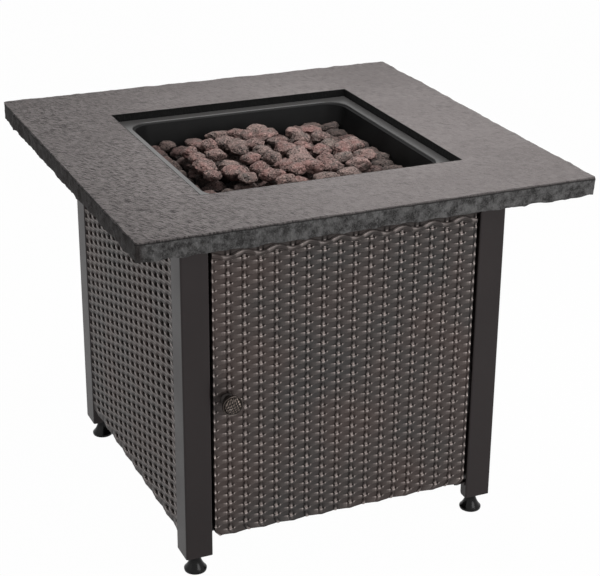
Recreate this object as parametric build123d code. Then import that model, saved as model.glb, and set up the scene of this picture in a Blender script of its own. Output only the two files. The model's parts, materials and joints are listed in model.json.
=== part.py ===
from build123d import *
import math
import os
import random

# Propane fire pit table: a square slate-look mantel on four tube legs, woven-look steel panels,
# a hinged door, a sunk fire bowl with burner and lava rock, and the gas controls behind the door.
# Millimetres, +Z up, the front looks towards -Y, the origin is on the floor under the middle.

# Overall sizes
TOP_HEIGHT = 645.0
MANTEL_SIDE = 762.0
MANTEL_THICK = 28.5
BASE_SIDE = 566.5
FOOT_HEIGHT = 36.0

# General clearances
SEAT_GAP = 0.3
RUN_GAP = 0.3
PIN_GAP = 0.12

# Mantel moulding
MANTEL_CORNER_R = 9.0
MANTEL_EDGE_CUT = 2.0
MANTEL_PLATE = 12.0
MANTEL_SKIRT = 16.0
OPENING_SIDE = 455.0
LEDGE_WIDTH = 16.0
COLLAR_WALL = 12.0
RIB_WIDTH = 14.0
RIB_OFFSET = 150.0
PAD_SIDE = 40.0
FLANGE_RECESS = 13.5

# Fire bowl
BOWL_SHEET = 1.5
FLANGE_GAP = 1.0
MOUTH_SIDE = 414.0
MOUTH_R = 38.0
FLOOR_SIDE = 372.0
FLOOR_R = 30.0
BOWL_DEPTH = 85.0
BOWL_BEND_R = 14.0
DRAIN_R = 4.0
DRAIN_OFFSET = 120.0

# Legs and feet
LEG_SIDE = 46.5
LEG_WALL = 1.5
LEG_CORNER_R = 3.0
LEG_LIP = 19.5
LEG_LIP_R = 5.0
PLUG_HEIGHT = 26.0
PLUG_BOSS_R = 12.0
STUD_R = 4.0
STUD_LENGTH = 24.0
FOOT_RIM_R = 19.0
FOOT_SOLE_R = 16.5
FOOT_RIM_HEIGHT = 7.0
FOOT_NECK_R = 9.0
FOOT_COLLAR_R = 11.5
FOOT_COLLAR_HEIGHT = 5.0

# Woven-look sheets
SHEET = 1.2
PANEL_INSET = 1.5
PANEL_DEPTH = 15.0
PANEL_BOTTOM = 67.0
STRAND_PITCH = 8.1
STRAND_RISE = 2.4
STRAND_SHOULDER = 2.2

# Top rails
RAIL_SHEET = 1.5
RAIL_DROP = 26.0
RAIL_SHELF = 26.0
FRONT_RAIL_DROP = 39.5
FRONT_LIP = 10.0

# Base rails, and the plate with the cylinder's seat
BASE_RAIL_RISE = 18.0
BASE_RAIL_SHELF = 20.0
SILL_RISE = 8.0
SILL_AIR = 1.5
PLATE_SHEET = 1.5
TANK_HOLE_R = 108.0

# Tank bolt
BOLT_R = 4.0
BOLT_TRAVEL = 18.0
BOLT_SPARE = 5.0
BOLT_BOSS_R = 6.4
BOLT_DROP = 15.0
WING_SPAN = 30.0
WING_HEIGHT = 11.0
WING_THICK = 4.0
LUG_WIDTH = 26.0
LUG_SHEET = 3.0
LUG_OUT = 16.0

# Door and its hardware
DOOR_GAP = 5.5
DOOR_TOP_GAP = 9.0
HINGE_EDGE = 9.0
HINGE_PIN_R = 2.5
BUSH_R = 4.2
BUSH_LENGTH = 9.0
HINGE_TAB = 2.0
HINGE_AIR = 1.0
HINGE_TAB_WIDTH = 13.0
DOOR_KNOB_EDGE = 21.7
DOOR_KNOB_HEIGHT = 317.0
DOOR_KNOB_R = 17.5
DOOR_KNOB_REACH = 33.5
DOOR_KNOB_NECK_R = 6.5
DOOR_KNOB_ROSE_R = 11.0
DOOR_KNOB_RIM = 6.0
DOOR_KNOB_DOME = 5.0
KNOB_SCREW_R = 2.0
KNOB_SCREW_HEAD_R = 4.5
KNOB_SCREW_HEAD = 2.5
KNOB_SCREW_GRIP = 12.0
CATCH_HEIGHT = 70.0
CATCH_WIDTH = 16.0
CATCH_DEPTH = 18.0
CATCH_BELOW_TOP = 90.0
STRIKE_SHEET = 1.5

# Burner
BURNER_R = 80.0
BURNER_HEIGHT = 22.0
BURNER_SHEET = 1.5
BURNER_EDGE_R = 5.0
BURNER_LIFT = 3.5
PORT_R = 1.8
PORT_COUNT = 20
SPACER_R = 6.0
SPACER_INSET = 25.0
MIXER_R = 12.5
MIXER_WALL = 1.2
MIXER_IN_BURNER = 10.0
AIR_WINDOW = 6.0
AIR_WINDOW_HEIGHT = 11.0
SHUTTER_WALL = 1.2
SHUTTER_LENGTH = 10.0
PROBE_OFFSET = 34.0
PROBE_R = 3.0
PROBE_TIP_R = 1.1
PROBE_OUT = 14.0
PROBE_IN = 40.0
PROBE_TIP_GAP = 6.0
PROBE_PLATE_SHEET = 1.5
PROBE_PLATE_MARGIN = 6.0
PROBE_PLATE_OUT = 6.0
BURNER_WALL_GAP = 0.6

# Heat shield
SHIELD_SIDE = 300.0
SHIELD_SHEET = 1.2
SHIELD_DROP = 16.0
SHIELD_FOOT = 20.0

# Gas controls behind the door
CONTROL_WIDTH = 164.0
CONTROL_DROP = 24.0
CONTROL_SHEET = 1.5
CONTROL_FLANGE = 22.0
CONTROL_KNOB_R = 18.0
CONTROL_KNOB_LENGTH = 13.0
CONTROL_KNOB_GAP = 6.0
CONTROL_KNOB_AIR = 2.0
CONTROL_KNOB_GRIP = 8.0
CONTROL_KNOB_BEVEL = 2.0
CONTROL_KNOB_WING = 12.0
CONTROL_KNOB_SKIRT = 4.5
STEM_R = 4.0
STEM_SWAY = 1.2
PUSH_TRAVEL = 4.0
VALVE_LENGTH = 30.0
VALVE_SIDE = 36.0
VALVE_FACE = 6.0
ROTOR_R = 10.0
ROTOR_LENGTH = 14.0
ROTOR_SOCKET = 10.0
JET_R = 5.0
JET_HEX_R = 7.5
JET_GAP = 4.0
JET_INSIDE = 7.0
JET_BORE_R = 0.8
INLET_R = 7.9
INLET_BORE_R = 4.0
INLET_LENGTH = 16.0
INLET_HEX_R = 11.0
INLET_HEX_LENGTH = 8.0
IGNITER_OFFSET = 54.0
IGNITER_R = 11.0
IGNITER_LENGTH = 34.0
IGNITER_NECK_R = 8.0
IGNITER_NECK = 6.0
IGNITER_NUT_R = 13.0
IGNITER_NUT_LENGTH = 4.0
BUTTON_R = 6.0
BUTTON_OUT = 8.0
BUTTON_HELD = 10.0
BUTTON_TRAVEL = 4.0

# Fasteners
SCREW_R = 2.0
SCREW_HEAD_R = 4.2
SCREW_HEAD = 2.6
SCREW_GRIP = 4.0
SCREW_GAP = 0.1
PANEL_SCREW_INSET = 60.0
MANTEL_SCREW_GRIP = 9.0

# Lava rock
ROCK_SIZE = 36.0
ROCK_LAYER = 27.0
ROCK_WALL_GAP = 0.5
ROCK_SHRINK = 0.02
ROCK_TAPER = (0.04, 0.3)
ROCK_JITTER = 0.2
ROCK_CROWN = 1.0
ROCK_RIM = 26.0
ROCK_FLATNESS = 4
ROCK_OVER_BURNER = 2.5
ROCK_LEAST = 10.0
ROCK_SEED = 11

# Levels and planes worked out from the sizes above
FRAME_TOP = TOP_HEIGHT - MANTEL_THICK
BASE_HALF = BASE_SIDE / 2
LEG_CENTRE = BASE_HALF - LEG_SIDE / 2
LEG_INNER = BASE_HALF - LEG_SIDE
LEG_BORE = LEG_SIDE - 2 * LEG_WALL
FACE_PLANE = BASE_HALF - PANEL_INSET
BACK_PLANE = FACE_PLANE - PANEL_DEPTH
TRAY_MIDDLE = BACK_PLANE + (PANEL_DEPTH - STRAND_RISE - SHEET) / 2
PANEL_WIDTH = 2 * (LEG_INNER - SEAT_GAP)
PANEL_HEIGHT = FRAME_TOP - SEAT_GAP - PANEL_BOTTOM
FLANGE_TOP = TOP_HEIGHT - FLANGE_RECESS
LEDGE_Z = FLANGE_TOP - BOWL_SHEET
FLOOR_Z = FLANGE_TOP - BOWL_DEPTH
DOOR_WIDTH = 2 * (LEG_INNER - DOOR_GAP)
FRONT_RAIL_BOTTOM = FRAME_TOP - FRONT_RAIL_DROP
DOOR_TOP = FRONT_RAIL_BOTTOM - DOOR_TOP_GAP
DOOR_HEIGHT = DOOR_TOP - PANEL_BOTTOM
RAIL_PLANE = BACK_PLANE - SEAT_GAP
HINGE_X = DOOR_WIDTH / 2 - HINGE_EDGE
HINGE_Y = -TRAY_MIDDLE
GAS_Z = FLOOR_Z + BURNER_LIFT + BURNER_HEIGHT / 2
CONTROL_Y = -BACK_PLANE + CONTROL_KNOB_AIR + CONTROL_KNOB_LENGTH + CONTROL_KNOB_GAP
VALVE_Y = CONTROL_Y + CONTROL_SHEET
VALVE_END = VALVE_Y + VALVE_LENGTH
MIXER_Y = VALVE_END + JET_GAP
SILL_Y = HINGE_Y + math.hypot(HINGE_EDGE, TRAY_MIDDLE - BACK_PLANE) + SILL_AIR
PLATE_Z = PANEL_BOTTOM + RAIL_SHEET
CORNERS = (("front_left", -1, -1), ("front_right", 1, -1), ("rear_left", -1, 1), ("rear_right", 1, 1))
PANEL_TURNS = (("side_panel_left", -90), ("side_panel_right", 90), ("rear_panel", 180))

os.makedirs("parts", exist_ok=True)


def keep(shape, node):
    """Write one sub-part to its own file."""
    export_step(shape, f"parts/{node}.step")


def slab(x0, x1, y0, y1, z0, z1):
    """Box between two opposite corners."""
    return Pos(x0, y0, z0) * Box(x1 - x0, y1 - y0, z1 - z0, align=(Align.MIN, Align.MIN, Align.MIN))


def rod_x(radius, x0, x1, y, z):
    """Round bar along X."""
    bar = Cylinder(radius, x1 - x0, align=(Align.CENTER, Align.CENTER, Align.MIN))
    return Pos(x0, y, z) * Rot(0, 90, 0) * bar


def rod_y(radius, y0, y1, x, z):
    """Round bar along Y."""
    bar = Cylinder(radius, y1 - y0, align=(Align.CENTER, Align.CENTER, Align.MIN))
    return Pos(x, y0, z) * Rot(-90, 0, 0) * bar


def rod_z(radius, z0, z1, x, y):
    """Round bar along Z."""
    return Pos(x, y, z0) * Cylinder(radius, z1 - z0, align=(Align.CENTER, Align.CENTER, Align.MIN))


def hex_y(radius, y0, y1, x, z):
    """Six-sided bar along Y, with its corners on the radius."""
    bar = extrude(RegularPolygon(radius, 6), y1 - y0)
    return Pos(x, y0, z) * Rot(-90, 0, 0) * bar


def turned(edges):
    """Solid of revolution about Z from the edges of a half section in the XZ plane."""
    return revolve(make_face(edges), Axis.Z)


def square_frame(outer, inner, z0, z1):
    """Square ring between two heights."""
    return Pos(0, 0, z0) * extrude(Rectangle(outer, outer) - Rectangle(inner, inner), z1 - z0)


# Mantel: moulded slab, hollow under its plate, with a skirt, ribs, and a ledge round the opening
def mantel_screw_places():
    """Each rail's screws stand under the outer ribs of its side."""
    reach = RAIL_PLANE - RAIL_SHELF / 2
    for turn in (0, 90, 180, 270):
        for side in (-1, 1):
            yield Rot(0, 0, turn) * Pos(side * RIB_OFFSET, -reach, FRAME_TOP)


def make_mantel():
    plan = RectangleRounded(MANTEL_SIDE, MANTEL_SIDE, MANTEL_CORNER_R)
    body = Pos(0, 0, FRAME_TOP) * extrude(plan, MANTEL_THICK)
    body = chamfer(body.faces().sort_by(Axis.Z)[-1].edges(), MANTEL_EDGE_CUT)
    collar = OPENING_SIDE + 2 * COLLAR_WALL
    inside = MANTEL_SIDE - 2 * MANTEL_SKIRT
    roof = TOP_HEIGHT - MANTEL_PLATE
    hollow = square_frame(inside, collar, FRAME_TOP, roof)
    for turn in (0, 90, 180, 270):
        for place in (-RIB_OFFSET, 0, RIB_OFFSET):
            half = RIB_WIDTH / 2
            rib = slab(place - half, place + half, -inside, -collar / 2, FRAME_TOP, roof)
            hollow -= Rot(0, 0, turn) * rib
    for name, sx, sy in CORNERS:
        hollow -= Pos(sx * LEG_CENTRE, sy * LEG_CENTRE, FRAME_TOP) * Box(
            PAD_SIDE, PAD_SIDE, 2 * MANTEL_THICK, align=(Align.CENTER, Align.CENTER, Align.CENTER))
    body -= hollow
    half = OPENING_SIDE / 2
    body -= slab(-half, half, -half, half, LEDGE_Z, TOP_HEIGHT)
    half -= LEDGE_WIDTH
    body -= slab(-half, half, -half, half, FRAME_TOP, LEDGE_Z)
    for place in mantel_screw_places():
        body -= place * rod_z(SCREW_R + SCREW_GAP, 0, MANTEL_SCREW_GRIP + SCREW_GAP, 0, 0)
    return body


keep(make_mantel(), "mantel")


# Fire bowl: pressed square bowl whose flange rests on the mantel's ledge
def bowl_form(grow):
    """Tapered square form of the bowl, larger by the sheet where it is the outside."""
    mouth = MOUTH_SIDE + 2 * grow
    floor = FLOOR_SIDE + 2 * grow
    top = Pos(0, 0, FLANGE_TOP) * RectangleRounded(mouth, mouth, MOUTH_R + grow)
    foot = Pos(0, 0, FLOOR_Z - grow) * RectangleRounded(floor, floor, FLOOR_R + grow)
    form = loft([foot, top], ruled=True)
    return fillet(form.faces().sort_by(Axis.Z)[0].edges(), BOWL_BEND_R + grow)


def bowl_half(z):
    """Half width of the bowl's inside at a height."""
    share = (z - FLOOR_Z) / BOWL_DEPTH
    return (FLOOR_SIDE + share * (MOUTH_SIDE - FLOOR_SIDE)) / 2


def make_bowl():
    flange_side = OPENING_SIDE - 2 * FLANGE_GAP
    flange = Pos(0, 0, LEDGE_Z) * extrude(Rectangle(flange_side, flange_side), BOWL_SHEET)
    bowl = bowl_form(BOWL_SHEET) + flange - bowl_form(0)
    wall = -bowl_half(GAS_Z)
    out = wall - MIXER_R
    into = wall + MIXER_R
    holes = [rod_y(MIXER_R + BURNER_WALL_GAP, out, into, 0, GAS_Z)]
    for side in (-1, 1):
        holes.append(rod_y(PROBE_R + BURNER_WALL_GAP, out, into, side * PROBE_OFFSET, GAS_Z))
        for end in (-1, 1):
            holes.append(rod_z(DRAIN_R, FLOOR_Z - 2 * BOWL_SHEET, FLOOR_Z + BOWL_SHEET,
                               side * DRAIN_OFFSET, end * DRAIN_OFFSET))
    return bowl - holes


keep(make_bowl(), "fire_bowl")


# Legs: square tubes, open at their inner corner below the panels, with a plug that holds the foot's stud
def panel_screw_places():
    """Each fixed panel's side walls take two screws a side, driven outwards into the legs."""
    for node, turn in PANEL_TURNS:
        for side in (-1, 1):
            for z in (PANEL_BOTTOM + PANEL_SCREW_INSET, FRAME_TOP - PANEL_SCREW_INSET):
                inside = LEG_INNER - SEAT_GAP - SHEET
                place = Pos(side * inside, -TRAY_MIDDLE, z) * Rot(0, 90 * side, 0)
                yield Rot(0, 0, turn) * place


SCREW_REACH = SHEET + SEAT_GAP + LEG_WALL + SCREW_GRIP
PANEL_SCREW_HOLES = [place * rod_z(SCREW_R + SCREW_GAP, -SCREW_HEAD, SCREW_REACH, 0, 0)
                     for place in panel_screw_places()]


def inner_corner(sx, sy, reach):
    """Space below the panels from a leg's inner corner to a distance inside the base's outer planes."""
    side = LEG_SIDE - reach
    middle = LEG_INNER + side / 2
    return Pos(sx * middle, sy * middle, FOOT_HEIGHT) * Box(
        side, side, PANEL_BOTTOM - FOOT_HEIGHT, align=(Align.CENTER, Align.CENTER, Align.MIN))


def make_leg(sx, sy):
    plan = RectangleRounded(LEG_SIDE, LEG_SIDE, LEG_CORNER_R) - RectangleRounded(
        LEG_BORE, LEG_BORE, LEG_CORNER_R - LEG_WALL)
    tube = Pos(sx * LEG_CENTRE, sy * LEG_CENTRE, FOOT_HEIGHT) * extrude(plan, FRAME_TOP - FOOT_HEIGHT)
    tube -= inner_corner(sx, sy, LEG_LIP)
    lip_ends = [edge for edge in tube.edges().group_by(Axis.Z)[0] if edge.length < LEG_WALL + SEAT_GAP]
    tube = fillet(lip_ends, LEG_LIP_R)
    return tube - PANEL_SCREW_HOLES


def make_leg_plug(sx, sy):
    side = LEG_BORE - 2 * SEAT_GAP
    plug = extrude(RectangleRounded(side, side, LEG_CORNER_R - LEG_WALL), PLUG_HEIGHT)
    plug = Pos(sx * LEG_CENTRE, sy * LEG_CENTRE, FOOT_HEIGHT) * plug
    plug -= inner_corner(sx, sy, LEG_LIP - LEG_LIP_R)
    top = FOOT_HEIGHT + PLUG_HEIGHT
    plug += rod_z(PLUG_BOSS_R, FOOT_HEIGHT, top, sx * LEG_CENTRE, sy * LEG_CENTRE)
    return plug - rod_z(STUD_R + RUN_GAP, FOOT_HEIGHT, top, sx * LEG_CENTRE, sy * LEG_CENTRE)


def make_foot(sx, sy):
    top = FOOT_HEIGHT - SEAT_GAP
    collar = top - FOOT_COLLAR_HEIGHT
    edge = FOOT_RIM_R - FOOT_SOLE_R
    sole = (FOOT_SOLE_R, 0, 0)
    rim_low = (FOOT_RIM_R, 0, edge)
    rim_high = (FOOT_RIM_R, 0, FOOT_RIM_HEIGHT)
    neck = (FOOT_NECK_R, 0, collar)
    waist_r = FOOT_NECK_R + (FOOT_RIM_R - FOOT_NECK_R) / 4
    waist = (waist_r, 0, FOOT_RIM_HEIGHT + (collar - FOOT_RIM_HEIGHT) / 3)
    body = turned([
        Line((0, 0, 0), sole),
        Line(sole, rim_low),
        Line(rim_low, rim_high),
        ThreePointArc(rim_high, waist, neck),
        Line(neck, (FOOT_COLLAR_R, 0, collar)),
        Line((FOOT_COLLAR_R, 0, collar), (FOOT_COLLAR_R, 0, top)),
        Line((FOOT_COLLAR_R, 0, top), (STUD_R, 0, top)),
        Line((STUD_R, 0, top), (STUD_R, 0, top + STUD_LENGTH)),
        Line((STUD_R, 0, top + STUD_LENGTH), (0, 0, top + STUD_LENGTH)),
        Line((0, 0, top + STUD_LENGTH), (0, 0, 0)),
    ])
    return Pos(sx * LEG_CENTRE, sy * LEG_CENTRE, 0) * body


for corner, sx, sy in CORNERS:
    keep(make_leg(sx, sy), f"leg_{corner}")
    keep(make_leg_plug(sx, sy), f"leg_plug_{corner}")
    keep(make_foot(sx, sy), f"foot_{corner}")


# Woven-look sheets: pressed trays of one sheet, whose faces carry rows of flat-topped strands
def woven_tray(width, height):
    rows = round(height / STRAND_PITCH)
    pitch = height / rows
    face = []
    for row in range(rows):
        low = row * pitch
        high = low + pitch
        face += [(0, STRAND_RISE, low), (0, 0, low + STRAND_SHOULDER), (0, 0, high - STRAND_SHOULDER)]
    face.append((0, STRAND_RISE, height))
    back = [(0, y + SHEET, z) for x, y, z in reversed(face)]
    half = width / 2
    tray = Pos(-half, 0, 0) * extrude(make_face(Polyline(*face, *back, close=True)), width, dir=(1, 0, 0))
    wall_back = [(0, PANEL_DEPTH, height), (0, PANEL_DEPTH, 0)]
    wall = extrude(make_face(Polyline(*face, *wall_back, close=True)), SHEET, dir=(1, 0, 0))
    tray += [Pos(-half, 0, 0) * wall, Pos(half - SHEET, 0, 0) * wall]
    tray += slab(-half, half, STRAND_RISE, PANEL_DEPTH, 0, SHEET)
    tray += slab(-half, half, STRAND_RISE, PANEL_DEPTH, height - SHEET, height)
    return tray


def on_side(shape, turn):
    """Set a piece that is drawn against the front's face plane on one of the four sides."""
    return Rot(0, 0, turn) * Pos(0, -FACE_PLANE, PANEL_BOTTOM) * shape


for node, turn in PANEL_TURNS:
    keep(on_side(woven_tray(PANEL_WIDTH, PANEL_HEIGHT), turn) - PANEL_SCREW_HOLES, node)


# Top rails: angles behind the fixed panels, and a deeper channel across the front above the door
def rail_holes():
    return [place * rod_z(SCREW_R + SCREW_GAP, -2 * RAIL_SHEET, RAIL_SHEET, 0, 0)
            for place in mantel_screw_places()]


def make_top_rail(turn):
    half = LEG_INNER - SEAT_GAP
    rail = slab(-half, half, -RAIL_PLANE, RAIL_SHEET - RAIL_PLANE, FRAME_TOP - RAIL_DROP, FRAME_TOP)
    rail += slab(-half, half, -RAIL_PLANE, RAIL_SHELF - RAIL_PLANE, FRAME_TOP - RAIL_SHEET, FRAME_TOP)
    return Rot(0, 0, turn) * rail - rail_holes()


def make_front_rail():
    half = LEG_INNER - SEAT_GAP
    shelf = RAIL_SHELF - RAIL_PLANE
    rail = slab(-half, half, -FACE_PLANE, RAIL_SHEET - FACE_PLANE, FRONT_RAIL_BOTTOM, FRAME_TOP)
    rail += slab(-half, half, -FACE_PLANE, shelf, FRAME_TOP - RAIL_SHEET, FRAME_TOP)
    lip_top = FRONT_RAIL_BOTTOM + RAIL_SHEET
    rail += slab(-half, half, -FACE_PLANE, FRONT_LIP - FACE_PLANE, FRONT_RAIL_BOTTOM, lip_top)
    return rail - rail_holes()


keep(make_front_rail(), "top_rail_front")
for node, turn in (("top_rail_left", -90), ("top_rail_right", 90), ("top_rail_rear", 180)):
    keep(make_top_rail(turn), node)


# Base rails: angles that tie the legs below and carry the plate for the cylinder's foot ring
def make_base_rail(plane, rise, turn):
    half = LEG_INNER - SEAT_GAP
    rail = slab(-half, half, plane, plane + RAIL_SHEET, PANEL_BOTTOM, PANEL_BOTTOM + rise)
    rail += slab(-half, half, plane, plane + BASE_RAIL_SHELF, PANEL_BOTTOM, PANEL_BOTTOM + RAIL_SHEET)
    return Rot(0, 0, turn) * rail


def make_base_plate():
    side = RAIL_PLANE - RAIL_SHEET - SEAT_GAP
    plate = slab(-side, side, SILL_Y + RAIL_SHEET + SEAT_GAP, side, PLATE_Z, PLATE_Z + PLATE_SHEET)
    notch = LEG_SIDE + SEAT_GAP
    for name, sx, sy in CORNERS:
        plate -= Pos(sx * (BASE_HALF - notch / 2), sy * (BASE_HALF - notch / 2), PLATE_Z) * Box(
            notch, notch, 4 * PLATE_SHEET)
    return plate - rod_z(TANK_HOLE_R, PLATE_Z, PLATE_Z + PLATE_SHEET, 0, 0)


keep(make_base_rail(SILL_Y, SILL_RISE, 0), "base_rail_front")
for node, turn in (("base_rail_left", -90), ("base_rail_right", 90), ("base_rail_rear", 180)):
    keep(make_base_rail(-RAIL_PLANE, BASE_RAIL_RISE, turn), node)
keep(make_base_plate(), "base_plate")


# Tank bolt: wing bolt through a lug under the plate, run in against the cylinder's foot ring
BOLT_Z = PLATE_Z - BOLT_DROP
LUG_X = TANK_HOLE_R + LUG_OUT
BOLT_TIP = LUG_X - LUG_OUT / 4


def make_tank_lug():
    half = LUG_WIDTH / 2
    low = BOLT_Z - half
    lug = slab(LUG_X, LUG_X + LUG_SHEET, -half, half, low, PLATE_Z)
    lug += slab(LUG_X, LUG_X + LUG_WIDTH, -half, half, PLATE_Z - LUG_SHEET, PLATE_Z)
    return lug - rod_x(BOLT_R + RUN_GAP, LUG_X - LUG_SHEET, LUG_X + 2 * LUG_SHEET, 0, BOLT_Z)


def make_tank_bolt():
    end = LUG_X + LUG_SHEET + BOLT_TRAVEL + BOLT_SPARE
    bolt = rod_x(BOLT_R, BOLT_TIP, end, 0, BOLT_Z)
    thick = WING_THICK / 2
    wing = slab(end, end + WING_HEIGHT, -WING_SPAN / 2, WING_SPAN / 2, BOLT_Z - thick, BOLT_Z + thick)
    wing = fillet(wing.edges().filter_by(Axis.Z), WING_HEIGHT / 3)
    boss = rod_x(BOLT_BOSS_R, end - WING_THICK, end + WING_HEIGHT / 2, 0, BOLT_Z)
    return bolt + wing + boss


keep(make_tank_lug(), "tank_bolt_lug")
keep(make_tank_bolt(), "tank_bolt")


# Door: woven tray on two pivot pins at its right edge, with bushes, knob and strike plate
def hinge_levels():
    """Each pivot's level at the door's edge, and the way that its pin enters the door."""
    return ((PANEL_BOTTOM, 1), (DOOR_TOP, -1))


KNOB_X = DOOR_KNOB_EDGE - DOOR_WIDTH / 2
KNOB_SEAT = -FACE_PLANE


def make_door():
    door = Pos(0, -FACE_PLANE, PANEL_BOTTOM) * woven_tray(DOOR_WIDTH, DOOR_HEIGHT)
    for z, way in hinge_levels():
        door -= rod_z(BUSH_R + SEAT_GAP, z - BUSH_R, z + BUSH_R, HINGE_X, HINGE_Y)
    return door - rod_y(KNOB_SCREW_R + SEAT_GAP, -BASE_HALF, -BACK_PLANE, KNOB_X, DOOR_KNOB_HEIGHT)


def make_hinge_bushes():
    bushes = []
    for z, way in hinge_levels():
        body = rod_z(BUSH_R, 0, BUSH_LENGTH, 0, 0)
        body += rod_z(BUSH_R + SHEET, SHEET + SEAT_GAP, 2 * SHEET + SEAT_GAP, 0, 0)
        body -= rod_z(HINGE_PIN_R + PIN_GAP, 0, BUSH_LENGTH, 0, 0)
        bushes.append(Pos(HINGE_X, HINGE_Y, z) * Rot(0 if way > 0 else 180, 0, 0) * body)
    return Compound(children=bushes)


def make_hinge_brackets():
    tabs = []
    half = HINGE_TAB_WIDTH / 2
    wall = LEG_INNER - SEAT_GAP
    for z, way in hinge_levels():
        near = z - way * HINGE_AIR
        low = min(near, near - way * HINGE_TAB)
        tab = slab(HINGE_X - half, wall, HINGE_Y - half, HINGE_Y + half, low, low + HINGE_TAB)
        foot = sorted((near, near - way * HINGE_TAB_WIDTH / 2))
        tab += slab(wall - HINGE_TAB, wall, HINGE_Y - half, HINGE_Y + half, *foot)
        tabs.append(tab - rod_z(HINGE_PIN_R + PIN_GAP, low, low + HINGE_TAB, HINGE_X, HINGE_Y))
    return Compound(children=tabs)


def make_hinge_pins():
    pins = []
    for z, way in hinge_levels():
        start = -(HINGE_AIR + HINGE_TAB)
        pin = rod_z(HINGE_PIN_R, start - HINGE_TAB, BUSH_LENGTH - SEAT_GAP, 0, 0)
        pin += rod_z(2 * HINGE_PIN_R, start - HINGE_TAB, start - PIN_GAP, 0, 0)
        pins.append(Pos(HINGE_X, HINGE_Y, z) * Rot(0 if way > 0 else 180, 0, 0) * pin)
    return Compound(children=pins)


def make_door_knob():
    """Turned knob: rose against the door, waisted neck, flat rim and a low dome."""
    rose = (DOOR_KNOB_ROSE_R, 0, 0)
    rose_top = (DOOR_KNOB_ROSE_R, 0, SHEET)
    rim_back = DOOR_KNOB_REACH - DOOR_KNOB_DOME - DOOR_KNOB_RIM
    rim_front = DOOR_KNOB_REACH - DOOR_KNOB_DOME
    neck = (DOOR_KNOB_NECK_R, 0, rim_back / 2)
    flare = ((DOOR_KNOB_NECK_R + DOOR_KNOB_R) / 2, 0, rim_back)
    dome_r = DOOR_KNOB_R - SHEET
    bezel = (dome_r, 0, rim_front)
    sphere = (dome_r**2 + DOOR_KNOB_DOME**2) / (2 * DOOR_KNOB_DOME)
    half_turn = math.asin(dome_r / sphere) / 2
    sphere_z = DOOR_KNOB_REACH - sphere
    shoulder = (sphere * math.sin(half_turn), 0, sphere_z + sphere * math.cos(half_turn))
    knob = turned([
        Line((0, 0, 0), rose),
        Line(rose, rose_top),
        ThreePointArc(rose_top, neck, flare),
        Line(flare, (DOOR_KNOB_R, 0, rim_back)),
        Line((DOOR_KNOB_R, 0, rim_back), (DOOR_KNOB_R, 0, rim_front - SHEET)),
        Line((DOOR_KNOB_R, 0, rim_front - SHEET), bezel),
        ThreePointArc(bezel, shoulder, (0, 0, DOOR_KNOB_REACH)),
        Line((0, 0, DOOR_KNOB_REACH), (0, 0, 0)),
    ])
    knob -= rod_z(KNOB_SCREW_R + SEAT_GAP, 0, KNOB_SCREW_GRIP, 0, 0)
    return Pos(KNOB_X, KNOB_SEAT - SEAT_GAP, DOOR_KNOB_HEIGHT) * Rot(90, 0, 0) * knob


def make_knob_screw():
    inside = KNOB_SEAT + STRAND_RISE + SHEET
    shank = rod_y(KNOB_SCREW_R, KNOB_SEAT - KNOB_SCREW_GRIP + SHEET, inside + SHEET, KNOB_X, DOOR_KNOB_HEIGHT)
    head_y = inside + SEAT_GAP
    return shank + rod_y(KNOB_SCREW_HEAD_R, head_y, head_y + KNOB_SCREW_HEAD, KNOB_X, DOOR_KNOB_HEIGHT)


CATCH_TOP = DOOR_TOP - CATCH_BELOW_TOP
CATCH_X = -DOOR_WIDTH / 2
STRIKE_Y = SEAT_GAP / 2 - BACK_PLANE


def make_strike():
    """Plate across the back of the door's left edge, welded to the side wall."""
    back = STRIKE_Y + STRIKE_SHEET
    return slab(CATCH_X, CATCH_X + CATCH_WIDTH, STRIKE_Y, back, CATCH_TOP - CATCH_HEIGHT, CATCH_TOP)


def make_magnet_catch():
    front = STRIKE_Y + STRIKE_SHEET + SEAT_GAP
    block = slab(SEAT_GAP - LEG_INNER, CATCH_X + CATCH_WIDTH, front, front + CATCH_DEPTH,
                 CATCH_TOP - CATCH_HEIGHT, CATCH_TOP)
    return chamfer(block.edges().filter_by(Axis.Z), SHEET)


keep(make_door(), "door_panel")
keep(make_hinge_bushes(), "hinge_bushes")
keep(make_hinge_brackets(), "hinge_brackets")
keep(make_hinge_pins(), "hinge_pins")
keep(make_door_knob(), "door_knob")
keep(make_knob_screw(), "knob_screw")
keep(make_strike(), "door_strike")
keep(make_magnet_catch(), "magnet_catch")


# Burner: hollow pressed drum with ports round its shoulder, fed by a mixer tube through the bowl's wall
BURNER_LOW = FLOOR_Z + BURNER_LIFT
BURNER_TOP = BURNER_LOW + BURNER_HEIGHT
BOWL_FRONT = -bowl_half(GAS_Z) - BOWL_SHEET


def make_burner():
    drum = rod_z(BURNER_R, BURNER_LOW, BURNER_TOP, 0, 0)
    drum = fillet(drum.edges(), BURNER_EDGE_R)
    space = rod_z(BURNER_R - BURNER_SHEET, BURNER_LOW + BURNER_SHEET, BURNER_TOP - BURNER_SHEET, 0, 0)
    drum -= fillet(space.edges(), BURNER_EDGE_R - BURNER_SHEET)
    drum -= rod_y(MIXER_R + SEAT_GAP, -BURNER_R - MIXER_R, -BURNER_R / 2, 0, GAS_Z)
    orbit = BURNER_R - 2 * BURNER_EDGE_R
    port = rod_z(PORT_R, BURNER_TOP - 2 * BURNER_SHEET, BURNER_TOP + BURNER_SHEET, orbit, 0)
    for step in range(PORT_COUNT):
        drum -= Rot(0, 0, 360 * step / PORT_COUNT) * port
    return drum


def make_burner_spacers():
    """One foot at the rear and two at the front, clear of the mixer tube."""
    orbit = BURNER_R - SPACER_INSET
    foot = rod_z(SPACER_R, FLOOR_Z, BURNER_LOW, 0, orbit)
    return Compound(children=[Rot(0, 0, turn) * foot for turn in (0, 120, 240)])


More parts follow.
